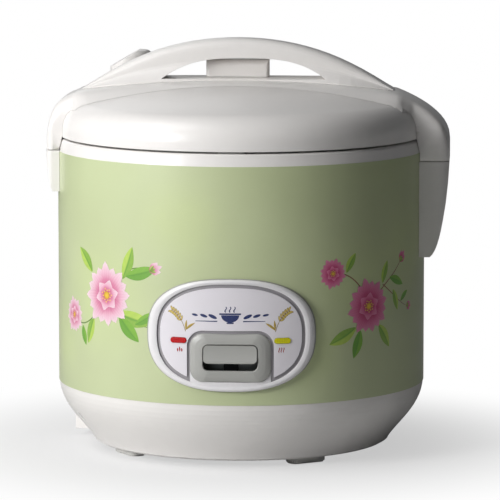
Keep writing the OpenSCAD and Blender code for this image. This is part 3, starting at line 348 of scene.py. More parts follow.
# %% Pattern steps
def noise(f, scale, detail=3.0, space=None):
    """Soft random clouds, with this many across a metre."""
    made = f.node("TexNoise")
    f.link(space or f.space, made.inputs["Vector"])
    made.inputs["Scale"].default_value = scale
    made.inputs["Detail"].default_value = detail
    return made.outputs["Fac"]


def cells(f, scale, feature="F1"):
    """Distances in a pattern of random cells."""
    made = f.node("TexVoronoi", feature=feature)
    f.link(f.space, made.inputs["Vector"])
    made.inputs["Scale"].default_value = scale
    return made.outputs["Distance"]


def bands(f, scale, direction):
    """Even stripes."""
    made = f.node("TexWave", wave_type="BANDS", bands_direction=direction)
    f.link(f.space, made.inputs["Vector"])
    made.inputs["Scale"].default_value = scale
    return made


def stretch(f, scale):
    """The coordinates, scaled by three numbers."""
    made = f.node("Mapping")
    f.link(f.space, made.inputs["Vector"])
    made.inputs["Scale"].default_value = scale
    return made.outputs[0]

# %% Value steps
def span(f, value, source, target, smooth=False):
    """Maps a value from one range onto another."""
    made = f.node("MapRange", interpolation_type="SMOOTHSTEP" if smooth else "LINEAR")
    f.put(made.inputs["Value"], value)
    for socket, number in zip(("From Min", "From Max", "To Min", "To Max"), (*source, *target)):
        made.inputs[socket].default_value = number
    return made.outputs[0]


def calc(f, operation, a, b=0.0):
    """Arithmetic on two values."""
    made = f.node("Math", operation=operation)
    f.put(made.inputs[0], a)
    f.put(made.inputs[1], b)
    return made.outputs[0]


def mix(f, share, a, b):
    """Mixes two colours."""
    made = f.node("Mix", data_type="RGBA")
    factor, first, second = made.inputs[0], made.inputs[6], made.inputs[7]
    f.put(factor, share)
    f.put(first, a)
    f.put(second, b)
    return made.outputs[2]


def from_axis(f):
    """The distance from the cooker's upright axis, and the height."""
    parts = f.node("SeparateXYZ")
    f.link(f.space, parts.inputs[0])
    x, y, z = parts.outputs
    squares = calc(f, "ADD", calc(f, "MULTIPLY", x, x), calc(f, "MULTIPLY", y, y))
    return calc(f, "SQRT", squares), z

# %% Relief steps
def soft_edges(f, radius):
    """A normal that rounds sharp edges off."""
    made = f.node("Bevel", samples=6)
    made.inputs["Radius"].default_value = radius
    return made.outputs[0]


def bump(f, height, strength, distance, under=None):
    """Slopes from a height, on top of another normal if one is given."""
    made = f.node("Bump")
    made.inputs["Strength"].default_value = strength
    made.inputs["Distance"].default_value = distance
    f.link(height, made.inputs["Height"])
    if under is not None:
        f.link(under, made.inputs["Normal"])
    return made.outputs[0]

# %% [markdown]
# ## Putting a finish on solids
#
# A solid arrives as flat triangles. Smooth shading hides their edges on curved walls, but would smear
# the real edges too, so edges over 28 degrees are kept sharp. The same could be done by splitting the
# mesh at those edges, but a solid's mesh is left as it is.

# %% The helper that dresses solids
SHARP = math.radians(28)
dressed = set()


def dress(finish, *names):
    """Gives solids a finish and smooth shading."""
    for name in names:
        mesh = NODES[name].data
        mesh.materials.clear()
        mesh.materials.append(finish.mat)
        mesh.shade_smooth()
        mesh.set_sharp_from_angle(angle=SHARP)
        dressed.add(name)
    print(finish.mat.name, "on", ", ".join(names))

# %% [markdown]
# ## Moulded plastics
#
# The covers, the lid and the base are glossy moulded plastic. Close up it isn't flawless: the tone has a
# faint mottle, the skin is like fine orange peel, and no edge is quite sharp. Painting this on an image
# would need UV maps on each piece. Noise in the shader covers them all alike.

# %% Plastic
def plastic(name, colour, rough=0.3, peel=0.035, mottle=0.02, grain=1400):
    """A moulded plastic."""
    f = Finish(name)
    wide = noise(f, scale=11, detail=4)
    fine = noise(f, scale=170, detail=3)
    tone = mix(f, span(f, wide, (0.3, 0.7), (0, 1)), shade(colour, 1 - mottle), shade(colour, 1 + mottle))
    tone = mix(f, span(f, fine, (0.35, 0.75), (0, 0.35)), tone, shade(colour, 1 - 2 * mottle))
    skin = bump(f, noise(f, scale=grain, detail=1), peel, 0.05 * MM, soft_edges(f, 0.4 * MM))
    wave = bump(f, noise(f, scale=32, detail=1), 0.04, 0.4 * MM, skin)
    gloss = span(f, wide, (0.3, 0.8), (rough - 0.03, rough + 0.05))
    f.set(Base_Color=tone, Roughness=gloss, Normal=wave)
    return f


white_gloss = plastic("white_gloss_plastic", rgb(243, 240, 237))
white_inner = plastic("white_inner_plastic", rgb(233, 233, 229), rough=0.42, peel=0.06)
panel_white = plastic("panel_film", rgb(236, 232, 238), rough=0.34, peel=0.02, mottle=0.012)
grey_gloss = plastic("grey_switch_plastic", rgb(178, 178, 174), rough=0.33, peel=0.05, grain=2100)
dark_case = plastic("dark_plastic", rgb(38, 38, 42), rough=0.45, peel=0.08)

# %% Solids of moulded plastic
dress(white_gloss, "base_tub", "collar", "right_side_cover", "left_side_cover", "lid_cover",
      "lid_hinge_arm", "lid_shoulders", "carry_handle", "hinge_bracket", "vent_cap", "release_button",
      "inlet_housing")
dress(white_inner, "lid_inner_panel", "vent_tube", "latch_bar")
dress(panel_white, "panel_plate")
dress(grey_gloss, "switch_bezel", "cook_button")
dress(dark_case, "micro_switch")

# %% [markdown]
# ## Rubber
#
# The feet, the lid's gasket and the knob of the inner lid are soft rubber: dull, a little dusty, and
# with a finer grain than plastic. A rough plastic would look alike from far off. The dust is what tells
# them apart close up.

# %% Rubber
def rubber(name, colour):
    """A dull rubber with dust on it."""
    f = Finish(name)
    dust = noise(f, scale=260, detail=4)
    tone = mix(f, span(f, dust, (0.45, 0.8), (0, 0.4)), colour, shade(colour, 1.12))
    grain = bump(f, noise(f, scale=1900, detail=2), 0.15, 0.2 * MM, soft_edges(f, 0.5 * MM))
    f.set(Base_Color=tone, Roughness=span(f, dust, (0.3, 0.8), (0.62, 0.8)), Normal=grain)
    return f


foot_rubber = rubber("foot_rubber", rgb(226, 225, 221))
seal_rubber = rubber("silicone_rubber", rgb(214, 214, 208))
dress(foot_rubber, "feet")
dress(seal_rubber, "lid_gasket", "lid_grommet")

# %% [markdown]
# ## Rolled, drawn and ground metal
#
# The can and the brackets are galvanised sheet, the pins are ground, and the springs are drawn wire. All
# show lines in the direction in which they were worked. Noise that is squeezed on one axis gives such
# lines, and the amount of squeeze tells sheet from wire.

# %% Metal
def metal(name, colour, rough=0.3, worked=(1, 1, 1), grain=900, depth=0.03 * MM, stain=0.1):
    """A metal with lines along the axis on which it was worked."""
    f = Finish(name)
    lines = noise(f, scale=grain, detail=3, space=stretch(f, worked))
    cloud = noise(f, scale=24, detail=4)
    tone = mix(f, span(f, cloud, (0.35, 0.75), (0, 1)), colour, shade(colour, 1 - stain))
    tone = mix(f, span(f, lines, (0.3, 0.7), (0, 0.5)), tone, shade(colour, 0.85))
    dull = span(f, cloud, (0.3, 0.8), (rough - 0.05, rough + 0.1))
    gloss = calc(f, "ADD", dull, span(f, lines, (0, 1), (-0.04, 0.04)))
    relief = bump(f, lines, 0.35, depth, soft_edges(f, 0.2 * MM))
    f.set(Base_Color=tone, Metallic=1.0, Roughness=gloss, Normal=relief)
    return f


sheet_steel = metal("galvanised_sheet", rgb(186, 189, 192), rough=0.34, worked=(1, 1, 0.06))
wire_steel = metal("spring_wire", rgb(190, 191, 194), rough=0.24, grain=1600)
lever_steel = metal("blackened_lever", rgb(44, 44, 47), rough=0.5)
pin_steel = metal("ground_pin", rgb(200, 201, 204), rough=0.16, worked=(0.05, 1, 1))
heater_tube = metal("heater_tube", rgb(96, 92, 90), rough=0.45, stain=0.35)
foil = metal("heater_foil", rgb(205, 206, 208), rough=0.28, worked=(1, 1, 0.3), grain=260, depth=0.2 * MM)
brass = metal("plated_blades", rgb(214, 190, 130), rough=0.25)

# %% Solids of sheet, wire and rod
dress(sheet_steel, "inner_can", "bottom_plate", "plate_supports", "thermostat_cage", "lever_bracket")
dress(wire_steel, "sensor_spring", "magnet_spring", "hinge_spring", "latch_spring")
dress(lever_steel, "cook_lever")
dress(pin_steel, "lever_pin", "hinge_pin")
dress(heater_tube, "heating_element")
dress(foil, "keep_warm_band")
dress(brass, "inlet_pins")

# %% [markdown]
# ## Turned metal
#
# The heating plate is turned on a lathe, and the inner lid and the sensor's cup are spun over a form.
# Both leave fine rings round the axis. Concentric rings come from the sine of the distance to the axis.
# The height is added to it, so that an upright wall gets its rings too.

# %% Turned metal
def turned(name, colour, rough, pitch):
    """A metal with fine rings round the upright axis."""
    f = Finish(name)
    radius, height = from_axis(f)
    along = calc(f, "ADD", radius, height)
    rings = calc(f, "SINE", calc(f, "MULTIPLY", along, 2 * math.pi / pitch))
    cloud = noise(f, scale=16, detail=2)
    wander = noise(f, scale=420, detail=2)
    tone = mix(f, span(f, cloud, (0.3, 0.8), (0, 1)), colour, shade(colour, 0.95))
    tone = mix(f, span(f, wander, (0.4, 0.8), (0, 0.3)), tone, shade(colour, 0.88))
    gloss = span(f, cloud, (0.2, 0.8), (rough - 0.02, rough + 0.05))
    relief = bump(f, calc(f, "ADD", rings, wander), 0.25, 0.02 * MM, soft_edges(f, 0.3 * MM))
    f.set(Base_Color=tone, Metallic=1.0, Roughness=gloss, Normal=relief)
    return f


aluminium_turned = turned("turned_aluminium", rgb(214, 216, 219), rough=0.3, pitch=0.6 * MM)
aluminium_sheet = turned("spun_aluminium", rgb(222, 224, 226), rough=0.24, pitch=1.1 * MM)
dress(aluminium_turned, "heating_plate")
dress(aluminium_sheet, "inner_lid_plate", "sensor_cup")

# %% [markdown]
# ## The pot's coating
#
# The pot is sprayed with a dark non-stick coating full of tiny lighter specks. Real specks could be
# thousands of dots in an image. Voronoi cells do it with one node: the middle of each cell is a speck.

# %% Non-stick coating
pot_coating = Finish("non_stick_coating")
specks = span(pot_coating, cells(pot_coating, scale=650), (0.0, 0.22), (1, 0))
sheen = span(pot_coating, noise(pot_coating, scale=35, detail=4), (0.3, 0.8), (0.32, 0.46))
spray = bump(pot_coating, noise(pot_coating, scale=1500, detail=3), 0.2, 0.08 * MM)
pot_coating.set(Base_Color=mix(pot_coating, specks, rgb(50, 50, 53), rgb(96, 97, 101)),
                Roughness=sheen, Metallic=0.25, Normal=spray)
dress(pot_coating, "inner_pot")

# %% [markdown]
# ## Ferrite, sleeve and circuit board
#
# Three small parts have patterns of their own: the sintered grains of the magnet, the woven sleeve over
# the fuse, and the copper under the board's lacquer. Each is one pattern node, used both as colour and
# as relief, so that the light agrees with the tone.

# %% Sintered ferrite
ferrite = Finish("sintered_ferrite")
grains = cells(ferrite, scale=900)
ferrite.set(Base_Color=mix(ferrite, grains, rgb(44, 44, 48), rgb(74, 74, 80)), Roughness=0.55,
            Metallic=0.3, Normal=bump(ferrite, grains, 0.3, 0.1 * MM, soft_edges(ferrite, 0.3 * MM)))
dress(ferrite, "sensor_ferrite", "magnet_rod")

# %% Woven sleeve
sleeve = Finish("woven_sleeve")
weave = bands(sleeve, scale=420, direction="DIAGONAL")
weave.inputs["Distortion"].default_value = 1.5
strands = weave.outputs["Fac"]
sleeve.set(Base_Color=mix(sleeve, strands, rgb(198, 192, 172), rgb(232, 229, 216)), Roughness=0.85,
           Normal=bump(sleeve, strands, 0.6, 0.2 * MM))
dress(sleeve, "thermal_fuse")

# %% Circuit board
board = Finish("circuit_board")
copper = span(board, cells(board, scale=90, feature="DISTANCE_TO_EDGE"), (0.02, 0.06), (1, 0))
board.set(Base_Color=mix(board, copper, rgb(112, 92, 44), rgb(150, 122, 58)), Roughness=0.4,
          Normal=bump(board, copper, 0.3, 0.1 * MM))
dress(board, "lamp_board")

# %% [markdown]
# ## Lamps and lenses
#
# The two windows are tinted clear plastic with ribs behind them, which spread the light of a small bulb.
# Truly clear plastic would show the dark inside of the panel. A solid colour with a coat of clear gloss
# reads as a lens that is off.

# %% Lenses and bulbs
def lens(name, colour):
    """Tinted clear plastic, with faint ribs behind its face."""
    f = Finish(name)
    ribs = span(f, bands(f, scale=260, direction="X").outputs["Fac"], (0, 1), (0, 0.35))
    face = bump(f, noise(f, scale=900, detail=2), 0.03, 0.2 * MM, soft_edges(f, 0.6 * MM))
    f.set(Base_Color=mix(f, ribs, colour, shade(colour, 0.6)), Roughness=0.18, Normal=face,
          Specular_IOR_Level=0.3, Coat_Weight=0.25)
    return f


red_lens = lens("red_lens", rgb(196, 6, 14))
yellow_lens = lens("yellow_lens", rgb(222, 216, 10))
bulb = Finish("bulb_glass")
smears = span(bulb, noise(bulb, scale=500, detail=2), (0.3, 0.7), (0.03, 0.12))
bulb.set(Base_Color=rgb(250, 225, 190), Roughness=smears, Transmission_Weight=0.8)
dress(red_lens, "cook_lens")
dress(yellow_lens, "warm_lens")
dress(bulb, "lamps")

# %% [markdown]
# ## The panel's frame
#
# The frame is one white moulding with a groove. The groove's floor is coloured grey in the shader:
# painted shade, standing for the shadow that falls into the groove. It could be a mesh of its own, but
# it lies on the solid exactly. The groove's floor is the only part of the frame this close to the
# cooker's axis, so the distance to the axis decides where the painted shade is.

# %% Frame with painted shade in its groove
GROOVE_INNER, GROOVE_OUTER = SHELL_R + 2.3 * MM, SHELL_R + 2.6 * MM
panel_rim = plastic("panel_rim", rgb(238, 236, 238), rough=0.32, peel=0.02)
to_axis = from_axis(panel_rim)[0]
groove_painted_shade = span(panel_rim, to_axis, (GROOVE_INNER, GROOVE_OUTER), (1, 0))
white_tone = panel_rim.bsdf.inputs["Base Color"].links[0].from_socket
# Painted shade: the groove's floor takes a flat grey for the shadow inside the groove.
panel_rim.set(Base_Color=mix(panel_rim, groove_painted_shade, white_tone, rgb(160, 157, 161)))
dress(panel_rim, "panel_frame")

# %% [markdown]
# ## The printed sheet
#
# The shell is a steel sheet, printed flat with a soft green and lacquered before it is rolled. The green
# is a little lighter in clouds behind the flowers. Each cloud is a distance to a point on the shell, and
# a dot screen as fine as the printer's breaks the tone up. An image would do too, but it would have to
# be wrapped, and it would blur close up.

# %% Places on the shell
def on_shell(angle, z, radius=SHELL_R):
    """A point on the shell at an angle in degrees from the front, to the right."""
    turn = math.radians(angle)
    return Vector((radius * math.sin(turn), -radius * math.cos(turn), z))


CLOUDS = [(-44, 0.118, 0.055), (-70, 0.085, 0.04), (-16, 0.172, 0.04), (42, 0.128, 0.05),
          (24, 0.085, 0.035), (66, 0.150, 0.045), (136, 0.118, 0.055), (222, 0.128, 0.05),
          (180, 0.165, 0.05)]
print("clouds on the shell, each with its angle, height and size:", len(CLOUDS))

# %% Printed green
shell_print = Finish("printed_shell")
tide = span(shell_print, noise(shell_print, scale=9, detail=3), (0.35, 0.7), (0, 1))
ground = mix(shell_print, tide, rgb(197, 207, 162), rgb(206, 216, 172))
for angle, z, size in CLOUDS:
    far = shell_print.node("VectorMath", operation="DISTANCE")
    shell_print.link(shell_print.space, far.inputs[0])
    far.inputs[1].default_value = on_shell(angle, z)
    near = span(shell_print, far.outputs["Value"], (size * 0.15, size), (0.5, 0), smooth=True)
    patchy = span(shell_print, noise(shell_print, scale=38, detail=3), (0.2, 0.7), (0.5, 1))
    ground = mix(shell_print, calc(shell_print, "MULTIPLY", near, patchy), ground, rgb(212, 226, 160))
screen = span(shell_print, noise(shell_print, scale=2600, detail=1), (0.35, 0.65), (0, 0.10))
ground = mix(shell_print, screen, ground, rgb(176, 190, 138))
gloss = span(shell_print, noise(shell_print, scale=60, detail=3), (0.3, 0.8), (0.3, 0.4))
waves = bump(shell_print, noise(shell_print, scale=45, detail=2), 0.06, 0.8 * MM)
shell_print.set(Base_Color=ground, Roughness=gloss, Normal=waves, Coat_Weight=0.25, Coat_Roughness=0.2)
dress(shell_print, "outer_shell")
print("solids without a finish:", sorted(set(NODES) - dressed))

# %% [markdown]
# ## The shoulders' skin
#
# The lid's shoulders are one moulding that runs out from the handle to both side covers. At its left
# end the solid has a paper-thin spur that hangs below its foot, and shows as a dark wedge. A solid's
# mesh isn't changed here. So a copy is taken, its triangles are joined, the spur's corners are drawn up
# to the foot, and the copy stands in for the solid.

# %% Shoulders without the spur
LEFT_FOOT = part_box("left_side_cover")[1].z + 0.6 * MM
WELD = 0.002 * MM
skin = bmesh.new()
skin.from_mesh(NODES["lid_shoulders"].data)
spur = [vert for vert in skin.verts if vert.co.x < -SHELL_R and vert.co.z < LEFT_FOOT]
for vert in spur:
    vert.co.z = LEFT_FOOT
bmesh.ops.remove_doubles(skin, verts=skin.verts, dist=WELD)
bmesh.ops.dissolve_degenerate(skin, edges=skin.edges, dist=WELD)
bmesh.ops.recalc_face_normals(skin, faces=skin.faces)
skin_mesh = bpy.data.meshes.new("shoulder_skin")
skin.to_mesh(skin_mesh)
skin.free()
skin_mesh.materials.clear()
skin_mesh.materials.append(white_gloss.mat)
skin_mesh.shade_smooth()
skin_mesh.set_sharp_from_angle(angle=SHARP)
shoulders = bpy.data.objects.new("shoulder_skin", skin_mesh)
scene.collection.objects.link(shoulders)
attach(shoulders, "lid")
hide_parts("lid_shoulders")
print("corners drawn up:", len(spur))

# %% [markdown]
# ## The shape of a coil
#
# A coil spring is round wire wound on a rod. Its end turns lie flat, so that it stands straight on its
# seat. The solids' coils have few faces and look faceted. Here a small circle is spun round the axis
# with a climb in each step, which is what winding does: flat first, then climbing, then flat again. A
# curve with a bevel would look the same, but would have to be turned into a mesh.

# %% Coil
FLAT_TURNS = 0.75
STEPS_IN_TURN = 36
WIRE_SIDES = 12


def coil(mean, wire, turns, length, flat):
    """A coil that stands on the origin along the Z axis, as a bmesh."""
    made = bmesh.new()
    upright = Matrix.Translation((mean, 0, wire)) @ Matrix.Rotation(math.radians(90), 4, "X")
    bmesh.ops.create_circle(made, cap_ends=True, radius=wire, segments=WIRE_SIDES, matrix=upright)
    end = list(made.edges)
    for wound, climb in ((flat, 0), (turns - 2 * flat, length - 2 * wire), (flat, 0)):
        steps = round(wound * STEPS_IN_TURN)
        if steps:
            swept = bmesh.ops.spin(made, geom=end, cent=(0, 0, 0), axis=(0, 0, 1),
                                   dvec=(0, 0, climb / steps), angle=2 * math.pi * wound, steps=steps)
            end = [part for part in swept["geom_last"] if isinstance(part, bmesh.types.BMEdge)]
    bmesh.ops.contextual_create(made, geom=end)
    bmesh.ops.recalc_face_normals(made, faces=made.faces)
    return made

# %% [markdown]
# ## Springs in their places
#
# The cooker has four springs: one lifts the sensor against the pot, one pushes the magnet back down,
# one pushes the latch forward, and one in the hinge opens the lid. Each new coil takes its length and
# radius from the solid that it stands for. When a joint presses on a spring, its free end comes along
# while the other stays on its seat. Here the coils keep their length: a pressed one gets a mesh of its
# own, the end that stays put is worked out, and its joint and travel are printed.

# %% Spring helpers
AXES = {0: Matrix.Rotation(math.radians(90), 4, "Y"),
        1: Matrix.Rotation(math.radians(-90), 4, "X"),
        2: Matrix.Identity(4)}
WIRE_SHARP = math.radians(50)


def body_of(node):
    """The name of the body that carries a solid."""
    return next(name for name, empty in frame["bodies"].items() if NODES[node].parent == empty)


def spring(node, axis, wire, turns, flat=FLAT_TURNS):
    """A smooth coil along an axis, 0 to 2, in place of a solid one."""
    low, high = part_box(node)
    length = high[axis] - low[axis]
    across = (axis + 1) % 3
    mean = (high[across] - low[across]) / 2 - wire
    shape = coil(mean, wire, turns, length, flat)
    seat = [(a + b) / 2 for a, b in zip(low, high)]
    seat[axis] = low[axis]
    shape.transform(Matrix.Translation(seat) @ AXES[axis])
    data = bpy.data.meshes.new(node + "_wire")
    shape.to_mesh(data)
    shape.free()
    data.materials.append(wire_steel.mat)
    data.shade_smooth()
    data.set_sharp_from_angle(angle=WIRE_SHARP)
    made = bpy.data.objects.new(node + "_wire", data)
    scene.collection.objects.link(made)
    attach(made, body_of(node))
    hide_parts(node)
    print(made.name, "length", round(length / MM, 2), "mm, coil radius", round(mean / MM, 2), "mm")
    return made


def press(made, node, axis, joint, travel, held):
    """Gives a spring a mesh of its own and prints a joint's travel on it; held is its held end: 0 the low
    one, 1 the high one. Nothing is squashed.
    """
    low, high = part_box(node)
    anchor = [(a + b) / 2 for a, b in zip(low, high)]
    anchor[axis] = (low, high)[held][axis]
    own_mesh(made)
    print(made.name, "is pressed by", joint, "over", round(travel / MM, 1), "mm")

# %% The four springs
X, Y, Z = 0, 1, 2
sensor_coil = spring("sensor_spring", Z, wire=0.6 * MM, turns=6)
press(sensor_coil, "sensor_spring", Z, "sensor_press", travel=2.1 * MM, held=0)
magnet_coil = spring("magnet_spring", Z, wire=0.5 * MM, turns=3)
press(magnet_coil, "magnet_spring", Z, "cook_switch", travel=3.8 * MM, held=1)
latch_coil = spring("latch_spring", Y, wire=0.4 * MM, turns=7)
press(latch_coil, "latch_spring", Y, "latch_slide", travel=3.6 * MM, held=1)
spring("hinge_spring", X, wire=0.7 * MM, turns=9, flat=0)

# %% [markdown]
# ## Ink on curved surfaces
#
# The prints are ink, a few hundredths of a millimetre proud of the surface. An image on the shell would
# need UV maps on the solid, and every edge in it would be blurred. Here each inked shape is a small grid
# laid out flat, as distances round the body and heights in mm, and then wrapped round the body. Shapes
# that cover others lie on a higher layer, so their faces never fight for the same place. The colours
# are kept in the mesh, corner by corner, and the ink's material reads them.

# %% A sheet of ink
INK_LIFT = 0.04 * MM
LAYER_STEP = 0.01 * MM


class Print:
    """Inked shapes wrapped round the cooker's axis at one radius."""

    def __init__(self, name, radius, turn=0.0):
        self.name = name
        self.radius = radius
        self.turn = turn
        self.mesh = bmesh.new()
        self.ink = self.mesh.loops.layers.float_color.new("ink")

    def wrap(self, point, layer):
        """The place of a flat point (round, height) in mm."""
        angle = self.turn + math.degrees(point[0] * MM / self.radius)
        return on_shell(angle, point[1] * MM, self.radius + INK_LIFT + LAYER_STEP * layer)

    def grid(self, rows, colours, layer):
        """Wraps rows of flat points, with a colour for each point."""
        sheet = bmesh.ops.create_grid(self.mesh, x_segments=len(rows[0]) - 1,
                                       y_segments=len(rows) - 1, size=1)
        points = [point for row in rows for point in row]
        tones = [tone for row in colours for tone in row]
        corners = dict(zip(sheet["verts"], tones))
        for vert, point in zip(sheet["verts"], points):
            vert.co = self.wrap(point, layer)
        for face in {face for vert in corners for face in vert.link_faces}:
            for loop in face.loops:
                loop[self.ink] = corners[loop.vert]

    def done(self, finish, body, inwards=False):
        """Makes the object. Every face looks outwards, or every face inwards."""
        self.mesh.normal_update()
        for face in self.mesh.faces:
            middle = face.calc_center_median()
            looks_out = face.normal.x * middle.x + face.normal.y * middle.y >= 0
            if looks_out == inwards:
                face.normal_flip()
            face.smooth = True
        data = bpy.data.meshes.new(self.name)
        self.mesh.to_mesh(data)
        self.mesh.free()
        data.materials.append(finish.mat)
        made = bpy.data.objects.new(self.name, data)
        scene.collection.objects.link(made)
        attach(made, body)
        print(self.name, len(data.polygons), "faces")
        return made

# %% Ink
def ink_finish(name, rough, coat):
    """Ink that takes its colour from the mesh and its gloss from the lacquer over it."""
    f = Finish(name)
    tone = f.node("Attribute", attribute_name="ink").outputs["Color"]
    screen = span(f, noise(f, scale=2600, detail=1), (0.35, 0.65), (0, 0.08))
    gloss = span(f, noise(f, scale=60, detail=3), (0.3, 0.8), (rough, rough + 0.1))
    f.set(Base_Color=mix(f, screen, tone, (0.35, 0.4, 0.3, 1)), Roughness=gloss,
          Normal=bump(f, noise(f, scale=45, detail=2), 0.05, 0.6 * MM), Coat_Weight=coat, Coat_Roughness=0.2)
    return f


shell_ink = ink_finish("shell_ink", rough=0.3, coat=0.25)
panel_ink = ink_finish("panel_ink", rough=0.34, coat=0.1)
print("inks:", shell_ink.mat.name, panel_ink.mat.name)

# %% [markdown]
# ## Brush strokes
#
# Flowers, leaves, grains and signs are all made of four strokes: a line, an ellipse, a petal and a leaf.
# Each is a grid whose rows run along or round it, and each shades from one colour to another as a
# brush or an airbrush would. They are drawn in flat mm, and the sheet of ink bends them.

# %% Points and tones
def heading(angle):
    """The direction at an angle in degrees from level."""
    return (math.cos(math.radians(angle)), math.sin(math.radians(angle)))


def placed(origin, along, x, y):
    """A point x along a direction and y to its left."""
    return (origin[0] + along[0] * x - along[1] * y, origin[1] + along[1] * x + along[0] * y)


def between(a, b, share):
    """A point or colour part of the way from one to another."""
    return [p + (q - p) * share for p, q in zip(a, b)]


def bezier(points, share):
    """A point on a Bezier curve."""
    while len(points) > 1:
        points = [between(p, q, share) for p, q in zip(points, points[1:])]
    return points[0]

# %% Line and ellipse
def line(sheet, points, width, colour, layer, taper=0.0, steps=18):
    """A line along a Bezier curve."""
    curve = [bezier(points, i / steps) for i in range(steps + 1)]
    rows = []
    for i, (x, y) in enumerate(curve):
        before, after = curve[max(0, i - 1)], curve[min(steps, i + 1)]
        run = math.dist(before, after)
        across = (-(after[1] - before[1]) / run, (after[0] - before[0]) / run)
        half = width / 2 * (1 - taper * i / steps)
        rows.append([(x + across[0] * half, y + across[1] * half), (x, y),
                     (x - across[0] * half, y - across[1] * half)])
    sheet.grid(rows, [[colour] * 3] * len(rows), layer)


RINGS = (0.02, 0.5, 0.85, 1)
RIM_POINTS = 16


def ellipse(sheet, centre, wide, tall, angle, colour, rim, layer):
    """An ellipse that shades from its middle to its rim."""
    along = heading(angle)
    rows, colours = [], []
    for r in RINGS:
        turns = [2 * math.pi * i / RIM_POINTS for i in range(RIM_POINTS + 1)]
        rows.append([placed(centre, along, wide / 2 * r * math.cos(a), tall / 2 * r * math.sin(a))
                     for a in turns])
        colours.append([between(colour, rim, r * r)] * len(turns))
    sheet.grid(rows, colours, layer)

# %% Petal
PETAL_STEPS = 12
PETAL_FOOT = 0.22
VEINS = 3
NOTCH = 0.025


def petal(sheet, centre, angle, start, length, width, base, middle, tip, layer):
    """A petal that leaves its flower's centre at an angle, with veins and a waved end."""
    along = heading(angle)
    rows, colours = [], []
    for i in range(PETAL_STEPS + 1):
        u = i / PETAL_STEPS
        swell = math.sin(math.pi * (0.08 + 0.60 * u)) ** 1.4
        half = width / 2 * (PETAL_FOOT + (1 - PETAL_FOOT) * swell) * (1 - 0.45 * u ** 5)
        inner = between(base, middle, min(1, u * 1.5))
        row, tones = [], []
        for j in range(PETAL_STEPS + 1):
            v = 2 * j / PETAL_STEPS - 1
            end = 1 - 0.24 * v * v * u + NOTCH * math.cos(VEINS * math.pi * v) * u
            row.append(placed(centre, along, start + length * u * end, half * v))
            streak = 0.5 + 0.5 * math.cos(2 * VEINS * math.pi * v)
            outer = max(0, u * 1.7 - 0.7) * (0.75 + 0.25 * streak)
            dark = 1 - 0.13 * (1 - streak) * (1 - u)
            tones.append(shade(between(inner, tip, outer), dark))
        rows.append(row)
        colours.append(tones)
    sheet.grid(rows, colours, layer)

# %% Leaf
LEAF_ROWS = 14
LEAF_COLUMNS = 8
LIGHT_SIDE, DARK_SIDE = 0.82, 0.30


def leaf(sheet, root, angle, length, width, dark, light, layer, bend):
    """A lance-shaped leaf with a midrib, one side lighter than the other."""
    along = heading(angle)
    rows, colours = [], []
    for i in range(LEAF_ROWS + 1):
        u = i / LEAF_ROWS
        half = width / 2 * math.sin(math.pi * min(1, u * 0.97 + 0.03)) ** 0.85
        row, tones = [], []
        for j in range(LEAF_COLUMNS + 1):
            v = 2 * j / LEAF_COLUMNS - 1
            row.append(placed(root, along, length * u, half * v + bend * length * u * u))
            side = LIGHT_SIDE if v > 0.05 else DARK_SIDE if v < -0.05 else 0.0
            vein = 0.10 * math.sin(9 * math.pi * u - 5 * abs(v)) * abs(v)
            tones.append(between(dark, light, min(1, max(0, side + vein + 0.15 * u))))
        rows.append(row)
        colours.append(tones)
    sheet.grid(rows, colours, layer)

# %% [markdown]
# ## The flowers on the shell
#
# The shell carries a printed garland: on each side of the panel a large open bloom, a smaller one and
# buds, on thin arching stems with leaves. The left spray is pale pink and the right one deeper. Each
# bloom has two rings of eight petals and a small ring of six, so that the gaps of one ring are filled by
# the next. The sheet is printed all round, so the same sprays come again on the back.

# %% Flower colours
LEAF_DARK, LEAF_MID, LEAF_LIGHT = rgb(96, 158, 52), rgb(132, 186, 62), rgb(192, 220, 96)
STEM_DARK, STEM_RED = rgb(104, 140, 60), rgb(150, 110, 86)
EYE_GOLD, EYE_AMBER, EYE_SPOT = rgb(244, 206, 60), rgb(206, 140, 40), rgb(250, 226, 110)
PALE = (rgb(206, 62, 122), rgb(238, 164, 194), rgb(252, 232, 238))
DEEP = (rgb(190, 28, 92), rgb(226, 92, 146), rgb(240, 152, 190))
print("middle of a deep petal in linear light:", [round(c, 3) for c in DEEP[1][:3]])

# %% Bloom and bud
def ring_of_petals(sheet, centre, count, turn, start, lengths, width, pinks, layer):
    """Even petals round a centre, whose lengths repeat in turn and whose layers alternate."""
    for i in range(count):
        petal(sheet, centre, turn + 360 / count * i, start, lengths[i % len(lengths)], width, *pinks,
              layer + i % 2)


def bloom(sheet, centre, radius, turn, pinks, layer):
    """A bloom of eight petals over eight in shade, with six short ones and a dotted yellow eye."""
    base, middle, tip = pinks
    ring_of_petals(sheet, centre, 8, turn + 22, radius * 0.12, [radius * 0.80], radius * 0.62,
                   (shade(base, 0.9), shade(middle, 0.93), tip), layer)
    ring_of_petals(sheet, centre, 8, turn, radius * 0.10, [radius * 0.86, radius * 0.91, radius * 0.96],
                   radius * 0.58, pinks, layer + 2)
    ring_of_petals(sheet, centre, 6, turn + 10, radius * 0.06, [radius * 0.44], radius * 0.40,
                   (base, shade(middle, 1.03), tip), layer + 4)
    ellipse(sheet, centre, radius * 0.26, radius * 0.26, 0, EYE_GOLD, EYE_AMBER, layer + 6)
    for i in range(14):
        out = radius * (0.16 if i % 2 else 0.21)
        spot = placed(centre, heading(turn + 26 * i), out, 0)
        ellipse(sheet, spot, radius * 0.05, radius * 0.05, 0, EYE_SPOT, EYE_GOLD, layer + 7)


def bud(sheet, root, angle, size, pinks, layer):
    """A half-open bud on its green cup."""
    for turn, share in ((-24, 0.85), (24, 0.85), (0, 1)):
        petal(sheet, root, angle + turn, 0, size * share, size * 0.55, *pinks, layer + (turn == 0))
    for turn in (-30, 0, 30):
        leaf(sheet, root, angle + turn, size * 0.5, size * 0.2, STEM_DARK, LEAF_LIGHT, layer + 2, bend=0)

